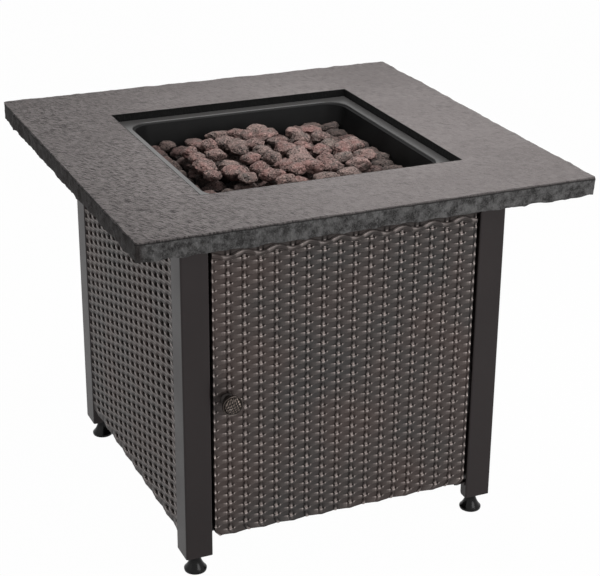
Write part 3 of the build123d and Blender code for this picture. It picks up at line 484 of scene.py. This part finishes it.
def woven_bronze():
    finish, place = new_finish("woven_bronze", Specular_IOR_Level=0.3)
    shine = place.node("Attribute", {"attribute_name": "shine"}, {}, "Fac")
    patches = spread(cloud(place, 7.0, 4.0), 0.36, 0.64)
    fleck = cloud(place, 160.0, 4.0, 0.7)
    plain = blend_colours(patches, (0.05, 0.0458, 0.0442, 1), (0.069, 0.0505, 0.0455, 1))
    # The pale copper colour is painted highlight, broken up by fleck; the near black below is painted shade
    # in slits and pits
    painted_highlight = spread(shine, 0.55, 0.95) * spread(fleck, 0.3, 0.55, 0.45, 1.0)
    colour = blend_colours(painted_highlight, plain, (0.85, 0.74, 0.7, 1))
    painted_shade = spread(shine, 0.45, 0.12)
    colour = blend_colours(painted_shade, colour, (0.0035, 0.003, 0.003, 1))
    return lay_on(finish, Base_Color=colour, Metallic=painted_shade * 0.7 + painted_highlight * 0.25 + 0.25,
                  Roughness=spread(fleck, 0.3, 0.7, 0.4, 0.54),
                  Normal=relief(cloud(place, 700.0, 2.0), 0.0002, 0.3))


woven_finish = woven_bronze()
side_swing = 0.0012
rear_low, rear_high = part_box("rear_panel")
# The side panels' plain level is lower than the door's, so they are painted darker overall, as painted shade
first_panel = woven_sheet("woven_panel", rear_high.x, rear_low.z, rear_high.z, -rear_high.y, -rear_low.y,
                          plain_section, side_swing, plain=0.4, painted_highlight=1.0)
for node, angle in (("side_panel_left", -90), ("side_panel_right", 90), ("rear_panel", 180)):
    panel = copy_of(first_panel, "woven_" + node)
    panel.data.transform(Matrix.Rotation(math.radians(angle), 4, "Z"))
    put_on(panel, woven_finish, "woven_sheet", "root", node)
bpy.data.objects.remove(first_panel)


# Door: the same woven sheet in a smaller tray with a wavy lip, on two pivot pins at its right edge.
# Its pins, bushes, strike plate and the magnet catch behind it are small plated and moulded pieces.
door_swing = 0.0025
door_low, door_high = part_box("door_panel")
door = woven_sheet("woven_door", door_high.x, door_low.z, door_high.z, door_low.y, door_high.y,
                   close_section, door_swing, plain=0.52, painted_highlight=1.0, lip=lip_section)
put_on(door, woven_finish, "woven_sheet", "door", "door_panel")


def bare_metal(name, shade, rough, brushed):
    """Bare or plated metal, brushed along one axis by stretching its noise."""
    finish, place = new_finish(name, Metallic=1.0)
    drawn = place.node("Mapping", {}, {"Vector": place, "Scale": brushed})
    strokes = cloud(drawn, 1.0, 4.0)
    stains = cloud(place, 22.0, 4.0)
    dull = (*[0.72 * part for part in shade], 1)
    colour = blend_colours(spread(stains, 0.35, 0.7), (*shade, 1), dull)
    return lay_on(finish, Base_Color=colour, Roughness=spread(strokes, 0.25, 0.75, rough - 0.08, rough + 0.1),
                  Normal=relief(strokes, 0.00006, 0.4))


zinc = bare_metal("zinc_plate", (0.56, 0.56, 0.55), 0.34, (350.0, 350.0, 350.0))
black_plastic = moulded_plastic("control_plastic", (0.016, 0.016, 0.017), 0.4)
coat_nodes(zinc, "hinge_pins", "knob_screw", "door_strike", "panel_screws", "mantel_screws", "tank_bolt",
           "valve_stem", "igniter_nut")
coat_nodes(black_plastic, "hinge_bushes", "magnet_catch", "control_knob", "igniter_housing", "igniter_button")


# Door knob: a turned bronze knob with a flat rim and a low dome, cross-cut into small pyramids.
# It is held from behind by one screw, and its high points are painted a pale copper: partly wear, partly
# painted glints.
knob_low, knob_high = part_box("door_knob")
knob_r = (knob_high.x - knob_low.x) / 2
knob_reach = knob_high.y - knob_low.y
knob_middle = (knob_low + knob_high) / 2
rim_back = knob_reach - 0.0112
rim_front = knob_reach - 0.0052
dome_r = knob_r - 0.0034
dome_low = rim_front - 0.0012
dome_rise = 0.0046
grid_half = dome_r * 1.02
cuts = 6
cut_rise = 0.0023
cut_turn = math.radians(20)
knob_rings = [(0.0105, 0.0), (0.011, 0.0007), (0.0107, 0.0014), (0.0088, 0.0026), (0.0072, 0.0048),
              (0.0066, 0.0075), (0.0066, rim_back - 0.0112), (0.0074, rim_back - 0.0074),
              (0.0094, rim_back - 0.0038), (0.0125, rim_back - 0.0006),
              (knob_r - 0.0012, rim_back), (knob_r - 0.0003, rim_back + 0.0006), (knob_r, rim_back + 0.0018),
              (knob_r, rim_front - 0.0018), (knob_r - 0.0004, rim_front - 0.0006),
              (knob_r - 0.0013, rim_front), (knob_r - 0.0024, rim_front - 0.0004),
              (dome_r, rim_front - 0.0014)]
knob = turn_up("bronze_door_knob", knob_rings)

let_go()
bpy.ops.mesh.primitive_grid_add(x_subdivisions=2 * cuts, y_subdivisions=2 * cuts, size=2 * grid_half)
dome = bpy.context.object
sphere_r = (dome_r ** 2 + dome_rise ** 2) / (2 * dome_rise)
for spot in dome.data.vertices:
    across = round((spot.co.x / grid_half + 1) * cuts)
    along = round((spot.co.y / grid_half + 1) * cuts)
    peak = cut_rise if across % 2 and along % 2 else 0.0
    away = min(spot.co.xy.length, dome_r)
    if spot.co.xy.length > dome_r:
        spot.co.xy = spot.co.xy.normalized() * dome_r
        peak = 0.0
    crown = math.sqrt(sphere_r ** 2 - away ** 2) - (sphere_r - dome_rise)
    spot.co.z = dome_low + crown + peak
dome.data.transform(Matrix.Rotation(cut_turn, 4, "Z"))
take(knob, dome)
bpy.ops.object.join()
knob.data.transform(Matrix.Translation((knob_middle.x, knob_high.y, knob_middle.z))
                    @ Matrix.Rotation(math.radians(90), 4, "X"))


def axes_of(place):
    """The x, y and z of a place."""
    split = place.node("SeparateXYZ", {}, {0: place})
    return [Value(place.tree, output) for output in split.socket.node.outputs]


def antique_bronze():
    finish, place = new_finish("antique_bronze", Specular_IOR_Level=0.5)
    edge = place.node("NewGeometry", {}, {}, "Pointiness")
    x, y, z = axes_of(place)
    sideways = x - knob_middle.x
    upwards = z - knob_middle.z
    away = place.math("SQRT", sideways * sideways + upwards * upwards)
    # The pyramids' tips and edges at the front are painted pale copper, less on the rim: wear and painted
    # glints
    wear_and_glint = spread(edge, 0.52, 0.62) * spread(y, knob_low.y + 0.014, knob_low.y + 0.009)
    wear_and_glint = wear_and_glint * spread(away, dome_r + 0.001, dome_r - 0.001, 0.3, 1.0)
    colour = blend_colours(wear_and_glint, (0.02, 0.0155, 0.0135, 1), (0.38, 0.3, 0.255, 1))
    return lay_on(finish, Base_Color=colour, Metallic=spread(wear_and_glint, 0.0, 1.0, 0.6, 1.0),
                  Roughness=spread(wear_and_glint, 0.0, 1.0, 0.3, 0.2), Normal=relief(cloud(place, 900.0), 0.0001, 0.3))


put_on(settle(knob), antique_bronze(), "knob_bronze", "door", "door_knob")


# Burner and gas train: stainless burner, tube and shield, brass valve and fittings, one ceramic electrode.
# They sit inside the base, behind the door and under the rock, so they keep their turned and folded shapes.
stainless = bare_metal("stainless_sheet", (0.5, 0.49, 0.47), 0.32, (40.0, 900.0, 900.0))
brass = bare_metal("brass_fitting", (0.62, 0.43, 0.18), 0.3, (500.0, 500.0, 500.0))
coat_nodes(stainless, "burner", "burner_spacers", "mixer_tube", "air_shutter", "electrode_bracket",
           "heat_shield", "thermocouple")
coat_nodes(brass, "valve_body", "orifice_jet", "inlet_fitting", "valve_rotor")


def fired_ceramic():
    finish, place = new_finish("fired_ceramic")
    speck = cloud(place, 400.0, 4.0)
    colour = blend_colours(spread(speck, 0.45, 0.7), (0.72, 0.69, 0.62, 1), (0.5, 0.46, 0.4, 1))
    return lay_on(finish, Base_Color=colour, Roughness=spread(speck, 0.3, 0.7, 0.45, 0.6),
                  Normal=relief(speck, 0.0001, 0.4))


coat_nodes(fired_ceramic(), "ignition_electrode")


# Fire bowl: a deep square pan pressed from sheet, black enamelled, with a flange that rests in the mantel.
# The flange is a square plate with the pan's rounded mouth cut out of it, and the two are one sheet.
bowl_low, bowl_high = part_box("fire_bowl")
mouth_half = 0.207
mouth_round = 0.038
mouth_steps = 12
floor_half = 0.186
floor_round = 0.016
bowl_sheet = 0.0015
lip_r = 0.004
flange_top = bowl_high.z
bowl_floor = bowl_low.z + bowl_sheet


def pick(piece, kind, wanted):
    """Go into edit mode with just the faces or edges that pass a test selected."""
    bpy.ops.object.mode_set(mode="EDIT")
    bpy.ops.mesh.select_mode(type=kind)
    bpy.ops.mesh.select_all(action="DESELECT")
    bpy.ops.object.mode_set(mode="OBJECT")
    for part in piece.data.polygons if kind == "FACE" else piece.data.edges:
        part.select = wanted(part)
    bpy.ops.object.mode_set(mode="EDIT")


let_go()
bpy.ops.mesh.primitive_plane_add(size=2 * mouth_half, location=(0, 0, flange_top))
bowl = bpy.context.object
bowl.name = "enamelled_fire_bowl"
bpy.ops.object.transform_apply(location=True)
bpy.ops.object.mode_set(mode="EDIT")
bpy.ops.mesh.bevel(offset=mouth_round, segments=mouth_steps, affect="VERTICES", profile=0.5)
depth = flange_top - bowl_floor
levels = [(lip_r * (1 - math.cos(turn)), lip_r * math.sin(turn)) for turn in (0.0, 0.4, 0.8, 1.2)]
levels += [(lip_r + (mouth_half - floor_half - lip_r) * share, lip_r + (depth - lip_r) * share)
           for share in (0.0, 0.25, 0.5, 0.75, 1.0)]
draw_through([(mouth_half - inward, flange_top - down) for inward, down in levels])
bpy.ops.mesh.bevel(offset=floor_round, segments=6, affect="EDGES", profile=0.5)
leave_edit()
pick(bowl, "FACE", lambda face: face.center.z > flange_top - tiny)
bpy.ops.mesh.delete(type="ONLY_FACE")
bpy.ops.mesh.select_all(action="SELECT")
bpy.ops.mesh.normals_make_consistent(inside=True)
leave_edit()
thicken(bowl, bowl_sheet)

let_go()
bpy.ops.mesh.primitive_cube_add(size=1, location=(0, 0, flange_top - bowl_sheet / 2),
                                scale=(bowl_high.x - bowl_low.x, bowl_high.y - bowl_low.y, bowl_sheet))
flange = bpy.context.object
bpy.ops.object.transform_apply(location=True, scale=True)
let_go()
bpy.ops.mesh.primitive_cube_add(size=1, location=(0, 0, flange_top),
                                scale=(2 * mouth_half, 2 * mouth_half, 8 * bowl_sheet))
mouth = bpy.context.object
bpy.ops.object.transform_apply(location=True, scale=True)


def is_upright(edge):
    """Whether an edge of the mouth's block stands on end."""
    first, second = [mouth.data.vertices[index].co for index in edge.vertices]
    return (first - second).xy.length < tiny


pick(mouth, "EDGE", is_upright)
bpy.ops.mesh.bevel(offset=mouth_round, segments=mouth_steps, affect="EDGES", profile=0.5)
leave_edit()
take(flange)
cut = flange.modifiers.new("mouth", "BOOLEAN")
cut.operation = "DIFFERENCE"
cut.solver = "EXACT"
cut.object = mouth
bpy.ops.object.modifier_apply(modifier=cut.name)
bpy.data.objects.remove(mouth)
take(bowl, flange)
bpy.ops.object.join()


def black_enamel():
    finish, place = new_finish("black_enamel", Specular_IOR_Level=0.09, Coat_Roughness=0.3)
    z = axes_of(place)[2]
    # The flange is painted lighter and coated, as a painted reflection; the pan's inside is painted near
    # black as painted shade, with soot clouds
    flange_sheen = spread(z, flange_top - 0.0022, flange_top - 0.0006)
    soot = cloud(place, 16.0, 6.0, 0.65)
    speck = cloud(place, 520.0, 2.0)
    inside = blend_colours(spread(soot, 0.4, 0.7), (0.002, 0.002, 0.0021, 1), (0.006, 0.0058, 0.0058, 1))
    colour = blend_colours(flange_sheen, inside, (0.044, 0.0424, 0.0416, 1))
    return lay_on(finish, Base_Color=colour, Roughness=spread(soot, 0.3, 0.7, 0.4, 0.55),
                  Coat_Weight=flange_sheen * 0.8, Normal=relief(speck, 0.0002, 0.35))


put_on(settle(bowl), black_enamel(), "enamel", "root", "fire_bowl")


# Mantel: a slab moulded and stained to look like riven slate, with chipped edges and a square opening.
# A ledge inside the opening carries the bowl's flange. The face is split into shallow clefts and pits.
mantel_low, mantel_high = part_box("mantel")
rough_rim = 0.0025
mantel_half = mantel_high.x + rough_rim
corner_r = 0.003
straight_half = mantel_half - corner_r
opening_half = 0.2275
ledge_half = 0.2115
ledge_top = flange_top - bowl_sheet
cells_in = 58
cells_out = 40
cells = cells_in + cells_out
edge_step = 0.0045
side_steps = (edge_step, edge_step, edge_step, mantel_high.z - ledge_top - 3 * edge_step,
              edge_step, edge_step, ledge_top - 2 * edge_step - mantel_low.z)
rim_width = 0.006
rim_drop = 0.0025
rim_top_share = 0.35
face_fade = 0.006

let_go()
bpy.ops.mesh.primitive_grid_add(x_subdivisions=2 * cells, y_subdivisions=2 * cells, size=2)
mantel = bpy.context.object
mantel.name = "slate_mantel"


def slab_place(share):
    """Even cells inside the opening and outside it, with a line on its edge."""
    count = abs(share) * cells
    inner = opening_half * min(count, cells_in) / cells_in
    outer = (mantel_half - opening_half) * max(0.0, count - cells_in) / cells_out
    return math.copysign(inner + outer, share)


def from_axis(spot):
    """How far a place of the slab is from the middle, along the wider of x and y."""
    return max(abs(spot.x), abs(spot.y))


for spot in mantel.data.vertices:
    x, y = slab_place(spot.co.x), slab_place(spot.co.y)
    over_x, over_y = abs(x) - straight_half, abs(y) - straight_half
    if over_x > 0 and over_y > 0:
        share = max(over_x, over_y) / math.hypot(over_x, over_y)
        x = math.copysign(straight_half + over_x * share, x)
        y = math.copysign(straight_half + over_y * share, y)
    spot.co = (x, y, mantel_high.z)
pick(mantel, "FACE", lambda face: from_axis(face.center) < opening_half)
bpy.ops.mesh.delete(type="FACE")
bpy.ops.mesh.select_all(action="SELECT")
for step in side_steps:
    bpy.ops.mesh.extrude_region_move(TRANSFORM_OT_translate={"value": (0, 0, -step)})
bpy.ops.mesh.select_all(action="SELECT")
bpy.ops.mesh.normals_make_consistent(inside=False)
leave_edit()
pick(mantel, "FACE", lambda face: face.center.z < ledge_top and abs(face.normal.z) < 0.5
     and from_axis(face.center) < opening_half + tiny)
bpy.ops.mesh.extrude_region_move()
share = ledge_half / opening_half
bpy.ops.transform.resize(value=(share, share, 1), center_override=(0, 0, 0))
leave_edit()

rim_group = mantel.vertex_groups.new(name="rim")
face_group = mantel.vertex_groups.new(name="face")
for spot in mantel.data.vertices:
    from_edge = mantel_half - from_axis(spot.co)
    on_top = spot.co.z > mantel_high.z - tiny
    underneath = spot.co.z < mantel_low.z + tiny
    if not underneath or from_edge < rim_width:
        near_rim = max(0.0, 1 - from_edge / rim_width) * (rim_top_share if on_top else 1.0)
        rim_group.add([spot.index], near_rim, "REPLACE")
        if underneath:
            spot.co.z -= rim_drop * near_rim
    if on_top:
        from_opening = from_axis(spot.co) - opening_half
        face_group.add([spot.index], smooth_step(from_opening / face_fade), "REPLACE")


def push(piece, name, kind, size, strength, group, direction="NORMAL", middle=0.5, **settings):
    """Displace a group of vertices by a noise of that size, and apply it."""
    texture = bpy.data.textures.new(name, kind)
    texture.noise_scale = size
    for setting, value in settings.items():
        setattr(texture, setting, value)
    shift = piece.modifiers.new(name, "DISPLACE")
    shift.texture = texture
    shift.texture_coords = "LOCAL"
    shift.strength = strength
    shift.mid_level = middle
    shift.direction = direction
    shift.vertex_group = group
    bpy.ops.object.modifier_apply(modifier=shift.name)


push(mantel, "broad_chips", "CLOUDS", 0.05, 0.0022, "rim", middle=0.4)
push(mantel, "chips", "VORONOI", 0.024, 0.0045, "rim", middle=0.25, distance_metric="DISTANCE_SQUARED")
push(mantel, "splinters", "CLOUDS", 0.009, 0.0019, "rim", noise_depth=3)
push(mantel, "clefts", "DISTORTED_NOISE", 0.06, 0.0009, "face", "Z", middle=0.6)
push(mantel, "pitting", "CLOUDS", 0.013, 0.001, "face", "Z", middle=0.6, noise_depth=4)


def streaks(place, size, angle, detail, rough):
    """Noise drawn out into streaks of that size, turned about the upright by so many degrees."""
    drawn = place.node("Mapping", {"vector_type": "TEXTURE"},
                       {"Vector": place, "Scale": size, "Rotation": (0, 0, math.radians(angle))})
    return cloud(drawn, 1.0, detail, rough)


def riven_slate():
    finish, place = new_finish("riven_slate", Specular_IOR_Level=0.14)
    x, y, z = axes_of(place)
    from_middle = place.math("MAXIMUM", abs(x), abs(y))
    on_face = spread(z, mantel_high.z - 0.0042, mantel_high.z - 0.0016)
    # A painted shadow line just under the top face's edge
    rim_shadow = spread(z, mantel_high.z - 0.0058, mantel_high.z - 0.0042)
    # The walls inside the opening are painted near black, as painted shade
    opening_shade = 1 - spread(from_middle, opening_half + 0.0002, opening_half + 0.0016)
    # The left edge is painted darker, as painted shade
    left_edge_shade = spread(x, 0.004 - mantel_half, 0.016 - mantel_half, 0.75, 0.0)
    broad = cloud(place, 6.0, 6.0, 0.6)
    grain = cloud(place, 420.0, 5.0, 0.7)
    mottle = cloud(place, 75.0, 5.0, 0.65)
    # Dark dashes, veins and pits: painted shade in the riven clefts, fainter towards the right
    dashes = spread(streaks(place, (0.015, 0.0025, 0.007), -58, 4.0, 0.6), 0.53, 0.38)
    veins = spread(streaks(place, (0.045, 0.008, 0.02), -44, 6.0, 0.68), 0.4, 0.33)
    pits = dashes * spread(mottle, 0.38, 0.52, 0.4, 1.0) * spread(broad, 0.36, 0.56, 0.7, 1.0)
    pits = place.math("MAXIMUM", pits, veins) * spread(x, -0.36, -0.02, 1.0, 0.42)
    face = blend_colours(spread(broad, 0.3, 0.7), (0.13, 0.116, 0.114, 1), (0.186, 0.168, 0.165, 1))
    face = blend_colours(spread(grain, 0.48, 0.75, 0.0, 0.6), face, (0.3, 0.273, 0.268, 1))
    face = blend_colours(pits, face, (0.022, 0.0195, 0.0195, 1))
    # The edges are painted darker than the top face: partly their own tone, partly painted shade
    edge = blend_colours(spread(mottle, 0.4, 0.62), (0.034, 0.0325, 0.0322, 1), (0.155, 0.152, 0.151, 1))
    edge = blend_colours(spread(grain, 0.5, 0.8, 0.0, 0.7), edge, (0.28, 0.275, 0.273, 1))
    edge = blend_colours(left_edge_shade, edge, (0.021, 0.016, 0.015, 1))
    edge = blend_colours(rim_shadow, edge, (0.014, 0.0135, 0.0135, 1))
    colour = blend_colours(on_face, edge, face)
    colour = blend_colours(opening_shade, colour, (0.002, 0.002, 0.002, 1))
    height = grain * 0.3 + mottle * 0.7 - pits * 0.8
    return lay_on(finish, Base_Color=colour, Roughness=spread(grain, 0.3, 0.7, 0.6, 0.8),
                  Normal=relief(height, 0.002, 0.9))


put_on(settle(mantel), riven_slate(), "slate", "root", "mantel")


# Lava rock: loose lumps of red-brown scoria, heaped over the burner to just below the bowl's flange.
# Eight lumps, and four plainer ones for the depth of the heap, are shaped from spheres.
# Each solid of the heap gives way to a copy of one, turned, stretched and shifted a little.
draw = random.Random(7)
lump_apart = 7
first_plain = 20
deepest_shown = flange_top - 0.062
wide_shift = 0.007
high_shift = 0.004

heap = copy_of(nodes["lava_rocks"], "heap")
heap.parent = None
take(heap)
bpy.ops.object.mode_set(mode="EDIT")
bpy.ops.mesh.select_all(action="SELECT")
bpy.ops.mesh.remove_doubles(threshold=tiny)
bpy.ops.mesh.separate(type="LOOSE")
leave_edit()
lump_boxes = []
for solid in [item for item in bpy.context.scene.objects if item.name.startswith("heap")]:
    spots = [spot.co for spot in solid.data.vertices]
    low = Vector([min(spot[axis] for spot in spots) for axis in range(3)])
    high = Vector([max(spot[axis] for spot in spots) for axis in range(3)])
    lump_boxes.append(((low + high) / 2, (high - low) / 2))
    bpy.data.objects.remove(solid)
lump_boxes.sort(key=lambda box: (round(box[0].z, 3), round(box[0].x, 4), round(box[0].y, 4)))


def shape_lump(number, subdivisions):
    """One lump: a sphere broken into facets and pits, by the noise at a place of its own."""
    let_go()
    bpy.ops.mesh.primitive_ico_sphere_add(subdivisions=subdivisions, radius=1)
    lump = bpy.context.object
    lump.name = f"lump_{number}"
    lump.data.transform(Matrix.Translation((lump_apart * number, 0, 0)))
    everywhere = lump.vertex_groups.new(name="all")
    everywhere.add([spot.index for spot in lump.data.vertices], 1.0, "REPLACE")
    push(lump, "facets", "VORONOI", 1.3, 0.6, "all", middle=0.4)
    push(lump, "hollows", "CLOUDS", 0.75, 0.4, "all")
    push(lump, "pits", "CLOUDS", 0.24, 0.2, "all", noise_depth=3)
    lump.data.transform(Matrix.Translation((-lump_apart * number, 0, 0)))
    reach = max(max(abs(part) for part in spot.co) for spot in lump.data.vertices)
    lump.data.transform(Matrix.Scale(1 / reach, 4))
    return lump


fine_lumps = [shape_lump(number, 4) for number in range(8)]
plain_lumps = [shape_lump(first_plain + number, 2) for number in range(4)]
rocks = []
for middle, half in lump_boxes:
    model = draw.choice(fine_lumps if middle.z > deepest_shown else plain_lumps)
    rock = copy_of(model, "rock")
    turn = Quaternion([draw.gauss(0, 1) for part in range(4)]).normalized()
    grow = Vector((draw.uniform(0.84, 1.14), draw.uniform(0.84, 1.14), draw.uniform(0.85, 1.1)))
    shift = Vector([draw.uniform(-reach, reach) for reach in (wide_shift, wide_shift, high_shift)])
    size = Matrix.Diagonal((*(half * grow), 1))
    rock.data.transform(Matrix.Translation(middle + shift) @ size @ turn.to_matrix().to_4x4())
    tint = rock.data.attributes.new("tint", "FLOAT", "FACE")
    shade = draw.random()
    for face in tint.data:
        face.value = shade
    rocks.append(rock)
for model in fine_lumps + plain_lumps:
    bpy.data.objects.remove(model)
take(*rocks)
bpy.ops.object.join()
rock_heap = rocks[0]
rock_heap.name = "lava_rock_heap"


def scoria():
    finish, place = new_finish("scoria", Specular_IOR_Level=0.25)
    z = axes_of(place)[2]
    tint = place.node("Attribute", {"attribute_name": "tint"}, {}, "Fac")
    body = tint.node("ValToRGB", {"stops": ((0.0, (0.08, 0.062, 0.056)), (0.3, (0.18, 0.095, 0.086)),
                                            (0.55, (0.22, 0.125, 0.112)), (0.8, (0.13, 0.106, 0.094)),
                                            (1.0, (0.27, 0.17, 0.155)))}, {0: tint})
    blotch = cloud(place, 60.0, 5.0, 0.65)
    body = blend_colours(spread(blotch, 0.38, 0.66), body, (0.1, 0.085, 0.078, 1))
    pores = place.node("TexVoronoi", {}, {"Vector": place, "Scale": 250.0})
    fine = cloud(place, 260.0, 5.0, 0.75)
    # The pores are painted dark, as painted shade in the holes
    pore_shade = spread(pores, 0.42, 0.2) * spread(blotch, 0.3, 0.55, 0.3, 1.0)
    colour = blend_colours(pore_shade * 0.9, body, (0.022, 0.016, 0.015, 1))
    # Light speckles: partly the stone's grain, partly painted highlights
    colour = blend_colours(spread(fine, 0.5, 0.66, 0.0, 0.7), colour, (0.46, 0.32, 0.285, 1))
    # Painted shade: lumps lower in the heap are painted darker, to near black
    painted_shade = spread(z, flange_top - 0.012, flange_top - 0.05)
    colour = blend_colours(painted_shade, colour, (0.012, 0.009, 0.0085, 1))
    height = fine * 0.6 + blotch - pore_shade
    return lay_on(finish, Base_Color=colour, Roughness=spread(fine, 0.3, 0.7, 0.8, 0.95),
                  Normal=relief(height, 0.0022, 0.9))


put_on(settle(rock_heap), scoria(), "lava", "root", "lava_rocks")


# Studio: a pale floor under a white backdrop, a soft lamp low over the table, a faint one at the left,
# a broad fill from the front right, and the camera at the photograph's height and bearing.
floor_white = 0.985
floor_gloss = 0.65
dim_sky = 0.16
let_go()
bpy.ops.mesh.primitive_plane_add(size=40, location=(0, 0, 0))
floor = bpy.context.object
floor.name = "studio_floor"
pale = bpy.data.materials.new("pale_floor")
pale.use_nodes = True
tree = pale.node_tree
shader = tree.nodes["Principled BSDF"]
shader.inputs["Base Color"].default_value = (0.9, 0.9, 0.9, 1)
shader.inputs["Roughness"].default_value = 0.9
rays = Value(tree).node("LightPath", {}, {}, "Is Camera Ray")
glossy = Value(tree, rays.socket.node.outputs["Is Glossy Ray"])
glow = rays.node("Emission", {}, {"Color": (1, 1, 1, 1), "Strength": 1.0})
white_share = (rays + glossy * floor_gloss) * floor_white
mixed = rays.node("MixShader", {}, {0: white_share, 1: Value(tree, shader.outputs[0]), 2: glow})
tree.links.new(mixed.socket, tree.nodes["Material Output"].inputs["Surface"])
floor.data.materials.append(pale)

studio = bpy.data.worlds.new("studio")
bpy.context.scene.world = studio
studio.use_nodes = True
sky = studio.node_tree
rays = Value(sky).node("LightPath", {}, {}, "Is Camera Ray")
glossy = Value(sky, rays.socket.node.outputs["Is Glossy Ray"])
through = Value(sky, rays.socket.node.outputs["Is Transmission Ray"])
seen = rays.math("MINIMUM", rays + glossy + through, 1.0)
sky.nodes["Background"].inputs["Color"].default_value = (1, 1, 1, 1)
sky.links.new(spread(seen, 0.0, 1.0, dim_sky, 1.0).socket, sky.nodes["Background"].inputs["Strength"])


def soft_lamp(name, place, aim, size, power):
    """A square area lamp that looks at a point."""
    lamp = bpy.data.lights.new(name, "AREA")
    lamp.size = size
    lamp.energy = power
    holder = bpy.data.objects.new(name, lamp)
    bpy.context.scene.collection.objects.link(holder)
    holder.location = place
    holder.rotation_mode = "QUATERNION"
    holder.rotation_quaternion = (Vector(aim) - Vector(place)).to_track_quat("-Z", "Y")


table_middle = (0.0, 0.0, 0.45)
soft_lamp("overhead", (0.2, -0.05, 1.5), table_middle, 0.7, 12.0)
soft_lamp("left_bank", (-3.3, -0.6, 1.3), table_middle, 1.6, 2.5)
soft_lamp("front_fill", (1.2, -3.4, 1.7), table_middle, 2.0, 54.0)

photo_width = 600
focal_pixels = 1611.6
bearing = math.radians(-23.724)
tilt = math.radians(22.827)
roll = math.radians(0.489)
lens = bpy.data.cameras.new("camera")
lens.sensor_width = 36.0
lens.lens = focal_pixels / photo_width * lens.sensor_width
lens.clip_end = 100
camera = bpy.data.objects.new("camera", lens)
bpy.context.scene.collection.objects.link(camera)
back = Vector((math.sin(bearing) * math.cos(tilt), -math.cos(bearing) * math.cos(tilt), math.sin(tilt)))
camera.location = (-1.0258, -2.4249, 1.4734)
camera.rotation_mode = "QUATERNION"
camera.rotation_quaternion = (-back).to_track_quat("-Z", "Y") @ Quaternion((0, 0, 1), roll)
bpy.context.scene.camera = camera
bpy.context.scene.view_settings.view_transform = "Standard"
